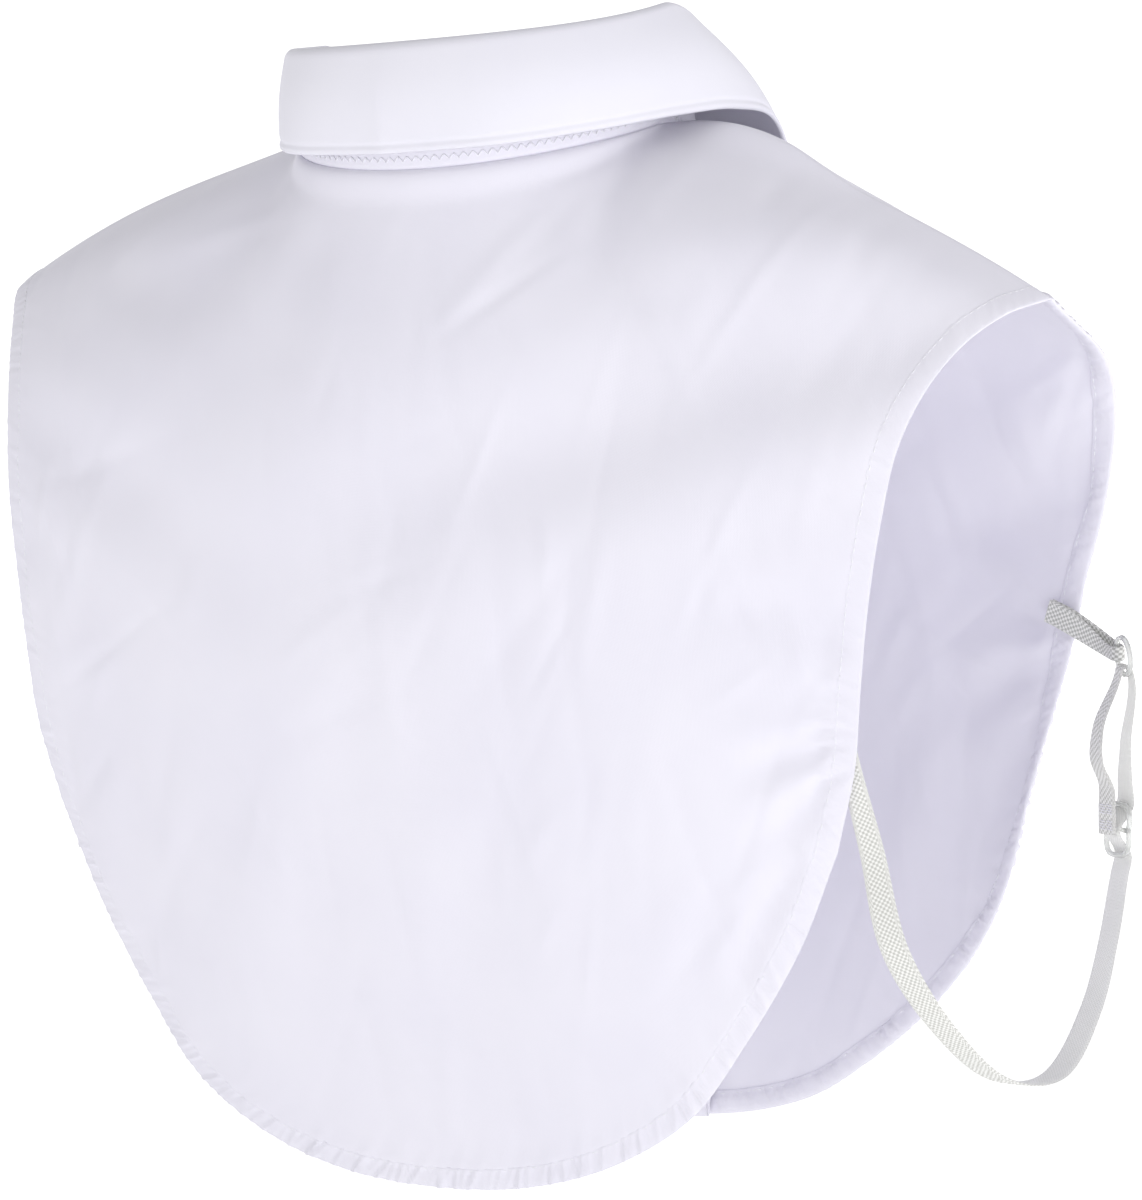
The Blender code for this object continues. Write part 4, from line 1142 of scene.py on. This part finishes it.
def elastic_band(name, path, across, widths, places, thickness, surface, back):
    """Woven elastic: a flat band with fine ribs across it and a corded edge."""
    columns = np.linspace(-1.0, 1.0, 15)
    along = unit(np.gradient(path, axis=0))
    across = unit(across - along * np.sum(across * along, axis=1, keepdims=True))
    face = unit(np.cross(along, across))
    zigzag = np.abs((columns * 2.6) % 2.0 - 1.0)
    ribs = np.sin(2.0 * np.pi * (places[:, None] / 1.15 + zigzag[None, :] * 0.8))
    edge = np.clip(1.0 - np.abs(np.abs(columns) - 0.9) / 0.1, 0.0, 1.0)
    half = thickness / 2.0 * np.sqrt(np.clip(1.0 - columns ** 8, 0.02, 1.0))
    rise = half[None, :] - 0.06 + 0.07 * ribs * (1.0 - edge[None, :]) + 0.03 * edge[None, :]
    middle = path[:, None, :] + across[:, None, :] * (columns[None, :] * widths[:, None] / 2.0)[..., None]
    outer = middle + face[:, None, :] * rise[..., None]
    inner = middle - face[:, None, :] * rise[..., None]
    made = shell(name, outer, inner, surface, rounding=0.2)
    made.data.materials.append(back)
    count = (outer.shape[0] - 1) * (outer.shape[1] - 1)
    for polygon in made.data.polygons[count:2 * count]:
        polygon.material_index = 1
    return made


def add_strap(label, side, route):
    """Strap of one side, as a free band that goes from the back panel to its slider."""
    rows, places = smooth_rows(strap_rows(route), 0.28)
    path = rows[:, :3] * np.array((side, 1.0, 1.0))
    made = elastic_band("elastic_strap_" + label, path, heading_vectors(rows[:, 3], side), rows[:, 4], places,
                        STRAP_THICKNESS, elastic, elastic_back)
    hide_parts("strap_" + label)
    add_tacks("strap_end_" + label, rows, side, (6, 24), False, -1.0)
    add_tacks("strap_start_" + label, rows, side, (8,), False, 1.0)
    return made


def add_tab(label, side):
    """Folded elastic tab of one side, in the strap's elastic coloured darker as painted shade."""
    rows, places = smooth_rows(tab_rows(), 0.28)
    path = rows[:, :3] * np.array((side, 1.0, 1.0))
    upright = np.tile(np.array((0.0, 0.0, 1.0)), (len(path), 1))
    made = elastic_band("elastic_tab_" + label, path, upright, rows[:, 3], places, STRAP_THICKNESS, tab_elastic_painted_shade,
                        tab_elastic_painted_shade)
    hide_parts("strap_tab_" + label)
    add_tacks("tab_start_" + label, rows, side, (10,), True, 1.0)
    return made


def add_tacks(label, rows, side, starts, upright, end):
    """Close stitches across a band where it is sewn down, on both of its faces."""
    path = rows[:, :3] * np.array((side, 1.0, 1.0))
    along = unit(np.gradient(path, axis=0))
    if upright:
        across = np.tile(np.array((0.0, 0.0, 1.0)), (len(path), 1))
    else:
        across = heading_vectors(rows[:, 3], side)
    across = unit(across - along * np.sum(across * along, axis=1, keepdims=True))
    face = np.cross(along, across)
    stations = []
    for start in starts:
        for step in range(4):
            k = start + step * 3 if end > 0.0 else len(path) - 1 - start - step * 3
            wide = rows[k, -1] * 0.8
            for sign in (-1.0, 1.0):
                middle = path[k] + face[k] * (sign * (STRAP_THICKNESS / 2.0 + 0.04))
                for part in (-0.25, 0.25):
                    stations.append((middle + across[k] * (part * wide), across[k] + along[k] * 0.12, face[k] * sign,
                                     wide * 0.48, 0.2))
    vertices, faces = capsules(stations)
    add_mesh("tack_" + label, vertices, faces, thread_cotton)


add_strap("right", -1.0, STRAP_ROUTE_RIGHT)
add_strap("left", 1.0, STRAP_ROUTE_LEFT)
add_tab("right", -1.0)
add_tab("left", 1.0)


# Cloth panels

def add_back_panel():
    """Back panel, hemmed all round below its seams."""
    columns = np.linspace(-1.0, 1.0, int(350.0 / GRID_STEP))
    rows = np.linspace(0.0, 1.0, int(325.0 / GRID_STEP))
    down, across = np.linspace(0.0, 1.0, 400), np.linspace(-1.0, 1.0, 900)
    edges = [back_points(np.full(400, -1.0), down), back_points(across, np.full(900, 1.0)),
             back_points(np.full(400, 1.0), down[::-1])]

    def strength(share):
        return 0.32 + 0.95 * math.exp(-((share - 0.5) / 0.25) ** 2)

    made = panel_shell("back_panel_cloth", back_points, columns, rows, edges, BACK_FOLDS, 11, (0.0, 1.0, 0.0), strength)
    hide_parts("back_panel")
    return made


def add_front(label, place, seed):
    """One front, hemmed at its armhole edge and its lower edge, with a turned closing edge."""
    columns = np.linspace(0.0, 1.0, int(190.0 / GRID_STEP))
    rows = np.linspace(0.0, 1.0, int(320.0 / GRID_STEP))
    down, across = np.linspace(0.0, 1.0, 400), np.linspace(0.0, 1.0, 600)
    edges = [place(across, np.full(600, 1.0)), place(np.full(400, 1.0), down[::-1])]

    def strength(share):
        return 0.95 + 0.35 * math.exp(-((share - 0.28) / 0.3) ** 2)

    name = "front_%s_cloth" % label
    made = panel_shell(name, place, columns, rows, edges, FRONT_FOLDS, seed, (0.0, -1.0, 0.0), strength)
    closing, places = edge_line([place(np.full(396, 0.0), down[:396])])
    turned = add_hem(name + "_closing", made[1], closing, places, made[5], (), stretch=LAP_STITCH / HEM_STITCH)
    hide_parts("front_" + label)
    for side, face, rise in (("out", made[1], 0.0), ("in", made[2], 0.34)):
        guide = inset_line(face, closing, places, made[5], LAP_STITCH, rise)
        add_stitches("%s_closing_stitches_%s" % (name, side), face, guide, lift=rise)
    return made


def add_hem_stitches(name, made):
    """The hem's stitches, seen on both faces."""
    for side, face, rise in (("out", made[1], 0.0), ("in", made[2], 0.34)):
        guide = inset_line(face, made[3], made[4], made[5], HEM_STITCH, rise)
        add_stitches("%s_stitches_%s" % (name, side), face, guide, lift=rise)


back = add_back_panel()
front_right = add_front("right", front_right_points, 23)
front_left = add_front("left", front_left_points, 37)
add_hem_stitches("back_panel_hem", back)
add_hem_stitches("front_right_hem", front_right)
add_hem_stitches("front_left_hem", front_left)


# Collar

def stand_points(bearing, height):
    """Outer face of the stand; bearing runs past the middle of the front on both sides."""
    low, top = neck_points(bearing), stand_top_points(bearing)
    rise = unit(top - low)
    outward = unit(low * np.array((1.0, 1.0, 0.0)))
    lap = ease((np.abs(bearing) - 150.0) / 26.0)[..., None]
    low = low + rise * (SEAM_GAP + 0.2 + 1.7 * lap) - outward * SEAM_GAP
    made = blend(low, top, height[..., None]) + outward * (1.2 * np.sin(np.pi * height))[..., None]
    step = np.where(bearing > 0.0, -STAND_LAP_OFFSET, STAND_LAP_OFFSET)[..., None]
    return made + outward * (step * lap)


def fall_points(bearing, share):
    """Middle of the fall's cloth from the stand seam over the fold to the lower edge."""
    root, low = stand_top_points(bearing), neck_points(bearing)
    rise = unit(root - low)
    angle = np.radians(bearing)
    outward = unit(points(np.sin(angle) / NECK_HALF_WIDTH, np.cos(angle) / NECK_BACK_DEPTH, 0.0))
    start = root + rise * (SEAM_GAP + 0.1) - outward * (STAND_CLOTH / 2.0)
    spread = (RIGHT_FOLD_SPREAD * np.exp(-((bearing + 112.0) / 32.0) ** 2))[..., None]
    crest = start + rise * FALL_RISE
    edge = read_table(FALL_EDGE, np.abs(bearing))
    tuck = np.sin(np.pi * np.clip((bearing - 25.0) / 105.0, 0.0, 1.0)) ** 2
    edge[..., 0] -= LEFT_FALL_TUCK * tuck
    edge[..., 1] -= LEFT_FALL_TUCK * 0.3 * tuck
    edge[..., 0] *= np.where(bearing < 0.0, -1.0, 1.0)
    edge[..., 2] -= FALL_EDGE_LEAN * edge[..., 0]
    turned = np.clip((share - 0.12) / 0.30, 0.0, 1.0)
    turn = np.pi * 0.86 * turned
    out = FOLD_RADIUS * (1.0 - np.cos(turn)) - LEFT_FOLD_TUCK * tuck * ease(turned)
    made = crest + outward * out[..., None] + rise * (FOLD_RADIUS * np.sin(turn))[..., None]
    made = made + (outward + rise * 0.35) * (spread * ease(turned * 1.7)[..., None])
    t = np.clip((share - 0.42) / 0.58, 0.0, 1.0)
    bulge = blend(FALL_BULGE_LEFT, FALL_BULGE_RIGHT, (1.0 - np.sin(angle)) / 2.0)
    leaf = blend(made, edge, t[..., None]) + (outward + rise * 0.3) * (bulge * np.sin(np.pi * t))[..., None]
    rising = blend(start, crest, np.clip(share / 0.12, 0.0, 1.0)[..., None])
    return np.where((share < 0.12)[..., None], rising, np.where((share <= 0.42)[..., None], made, leaf))


STAND_ROWS = np.concatenate([np.linspace(-0.03, 0.19, 18), np.linspace(0.23, 1.0, 18)])


def add_stand():
    """Collar stand, stiffened, with its lower edge turned in over the neck seam."""
    bearing, height = np.meshgrid(np.linspace(-STAND_END, STAND_END, 330), STAND_ROWS, indexing="ij")
    grid = stand_points(bearing, height)
    normals = grid_normals(grid, (0.0, 1.0, 0.0))
    sunk = 0.15 * np.exp(-((height - 0.09) / 0.05) ** 2) + 0.55 * np.exp(-((height + 0.03) / 0.035) ** 2)
    outer = grid - normals * sunk[..., None]
    inner = grid - normals * STAND_CLOTH
    made = shell("collar_stand_cloth", outer, inner, poplin)
    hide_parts("collar_stand")
    return made, outer, inner


def add_fall():
    """Collar leaf, stiffened, folded down over the stand to its two points."""
    shares = np.concatenate([np.linspace(0.0, 0.12, 5), np.linspace(0.14, 0.42, 15), np.linspace(0.44, 0.93, 30),
                             np.linspace(0.935, 1.0, 12)])
    bearing, share = np.meshgrid(np.linspace(-FALL_END, FALL_END, 330), shares, indexing="ij")
    grid = fall_points(bearing, share)
    normals = grid_normals(grid, (0.0, 1.0, 0.0))
    reach = np.linalg.norm(grid - grid[:, -1:, :], axis=2)
    rim = 0.32 * np.exp(-((reach - 2.3) / 0.8) ** 2) - 0.16 * np.exp(-((reach - 1.0) / 0.8) ** 2)
    outer = grid + normals * (FALL_CLOTH / 2.0 - rim)[..., None]
    inner = grid - normals * (FALL_CLOTH / 2.0)
    made = shell("collar_fall_cloth", outer, inner, stiff_poplin)
    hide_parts("collar_fall")
    return made, outer, inner


stand = add_stand()
fall = add_fall()


def add_neck_stitches():
    """Zigzag row of stitches along the stand's lower edge, outside and inside."""
    bearing = np.linspace(-STAND_END + 3.0, STAND_END - 3.0, 400)
    for side, grid, sign in (("out", stand[1], 1.0), ("in", stand[2], -1.0)):
        face = Face(grid, grid_normals(grid, (0.0, sign, 0.0)))
        line = stand_points(bearing, np.full(400, 0.09))
        add_stitches("neck_stitches_" + side, face, line, lift=0.14, pitch=1.5, length=2.3, slant=52.0)


add_neck_stitches()


# Plastic ring and slider, and the buttons with their thread and buttonholes

def tube(path, radius, sides=12):
    """Vertices and faces of a closed round tube along a closed path."""
    path = np.array(path)
    tangents = unit(np.roll(path, -1, axis=0) - np.roll(path, 1, axis=0))
    plane = unit(np.cross(path[0] - path.mean(axis=0), tangents[0]))
    vertices, faces = [], []
    for point, tangent in zip(path, tangents):
        spoke = np.cross(tangent, plane)
        for k in range(sides):
            angle = 2.0 * math.pi * k / sides
            vertices.append(point + (spoke * math.cos(angle) + plane * math.sin(angle)) * radius)
    count = len(path)
    for i in range(count):
        for k in range(sides):
            a, b = i * sides + k, i * sides + (k + 1) % sides
            c, d = ((i + 1) % count) * sides + (k + 1) % sides, ((i + 1) % count) * sides + k
            faces.append((a, d, c, b))
    return vertices, faces


def add_ring(label, side):
    """Round ring of clear plastic that the tab holds."""
    across = heading_vectors(RING_HEADING, side)
    centre = np.array(RING_CENTRE) * np.array((side, 1.0, 1.0))
    angles = np.linspace(0.0, 2.0 * math.pi, 56, endpoint=False)
    path = [centre + across * (math.cos(a) * RING_RADIUS) + np.array((0.0, 0.0, math.sin(a) * RING_RADIUS))
            for a in angles]
    vertices, faces = tube(path, RING_WIRE)
    made = add_mesh("clear_ring_" + label, vertices, faces, clear_plastic)
    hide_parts("ring_" + label)


def slider_frame(side):
    """Centre of a slider and its width, face and height directions."""
    centre = np.array(SLIDER_CENTRE) * np.array((side, 1.0, 1.0))
    foot = np.array(RING_CENTRE) * np.array((side, 1.0, 1.0)) - np.array((0.0, 0.0, RING_RADIUS))
    rise = unit(foot - centre)
    width = heading_vectors(SLIDER_HEADING, side)
    width = unit(width - rise * (width @ rise))
    return centre, width, np.cross(rise, width), rise


def add_slider(label, side):
    """Figure-eight slider of clear plastic: a waisted frame with a bar across its middle."""
    centre, width, _, rise = slider_frame(side)
    half_width, half_height = SLIDER_WIDTH / 2.0 - SLIDER_BAR, SLIDER_HEIGHT / 2.0 - SLIDER_BAR
    path = []
    for a in np.linspace(0.0, 2.0 * math.pi, 72, endpoint=False):
        c, d = math.cos(a), math.sin(a)
        x = half_width * math.copysign(abs(c) ** 0.55, c)
        z = half_height * math.copysign(abs(d) ** 0.55, d)
        x *= 1.0 - 0.09 * math.exp(-(z / 2.2) ** 2)
        path.append(centre + width * x + rise * z)
    vertices, faces = tube(path, SLIDER_BAR)
    bar_half = half_width * 0.91
    bar, sides = [], 12
    ring_places = (-1.0, -0.96, -0.5, 0.0, 0.5, 0.96, 1.0)
    bar_faces = []
    _, _, face_way, _ = slider_frame(side)
    for share in ring_places:
        radius = SLIDER_BAR * (0.2 if abs(share) == 1.0 else 0.92)
        for k in range(sides):
            angle = 2.0 * math.pi * k / sides
            spoke = face_way * math.cos(angle) + rise * math.sin(angle)
            bar.append(centre + width * (bar_half * share) + spoke * radius)
    for i in range(len(ring_places) - 1):
        for k in range(sides):
            a, b = i * sides + k, i * sides + (k + 1) % sides
            bar_faces.append((a, b, b + sides, a + sides))
    bar_faces.append(tuple(range(sides))[::-1])
    bar_faces.append(tuple((len(ring_places) - 1) * sides + k for k in range(sides)))
    shift = len(vertices)
    vertices = vertices + bar
    faces = faces + [tuple(v + shift for v in f) for f in bar_faces]
    made = add_mesh("clear_slider_" + label, vertices, faces, clear_plastic)
    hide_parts("slider_" + label)


def add_button_sewing(node, normal, face, slit):
    """Thread across a button's four holes, and the buttonhole worked round its slit in the cloth below."""
    low_corner, high_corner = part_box(node)
    centre = (np.array(low_corner) + np.array(high_corner)) / 2.0 / MM
    across = np.array((1.0, 0.0, 0.0))
    upward = np.cross(normal, across) * -1.0
    if upward[2] < 0.0:
        upward = -upward
    stations = []
    for sign in (-1.0, 1.0):
        for strand in (-0.28, 0.0, 0.28):
            x = sign * BUTTON_HOLE_OFFSET * 0.707 + strand
            stations.append((centre + across * x + normal * 0.85, upward, normal, BUTTON_HOLE_OFFSET * 2.0, 0.2))
    along, aside = (upward, across) if slit == "upright" else (across, upward)
    step = 0.42
    for k in range(int(2.0 * BUTTONHOLE_HALF / step) + 1):
        q = -BUTTONHOLE_HALF + k * step
        for sign in (-1.0, 1.0):
            place, lie = face.nearest(centre + along * q + aside * (sign * 0.85))
            stations.append((place + lie * 0.16, aside, lie, 1.5, 0.24))
    for end in (-1.0, 1.0):
        for k in range(5):
            place, lie = face.nearest(centre + along * (end * BUTTONHOLE_HALF) + aside * (-1.2 + 0.6 * k))
            stations.append((place + lie * 0.22, along, lie, 1.7, 0.28))
    vertices, faces = capsules(stations)
    add_mesh(node + "_sewing", vertices, faces, thread_cotton)


def repaint(node, surface):
    """Give a carried-over solid its finished material."""
    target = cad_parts[node]
    for place in target.material_slots:
        place.material = surface


for label, side in (("right", -1.0), ("left", 1.0)):
    add_ring(label, side)
    add_slider(label, side)

for number in range(1, 5):
    node = "button_front_%d" % number
    low_corner, high_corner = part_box(node)
    middle = (np.array(low_corner) + np.array(high_corner)) / 2.0 / MM
    _, lie = front_right[1].nearest(middle)
    lie = unit(lie * np.array((0.0, 1.0, 1.0)))
    repaint(node, button_plastic)
    add_button_sewing(node, lie, front_right[1], "upright")
repaint("button_stand", button_plastic)
stand_face = Face(stand[1], grid_normals(stand[1], (0.0, 1.0, 0.0)))
add_button_sewing("button_stand", unit(np.array((0.0, -1.0, 0.32))), stand_face, "level")
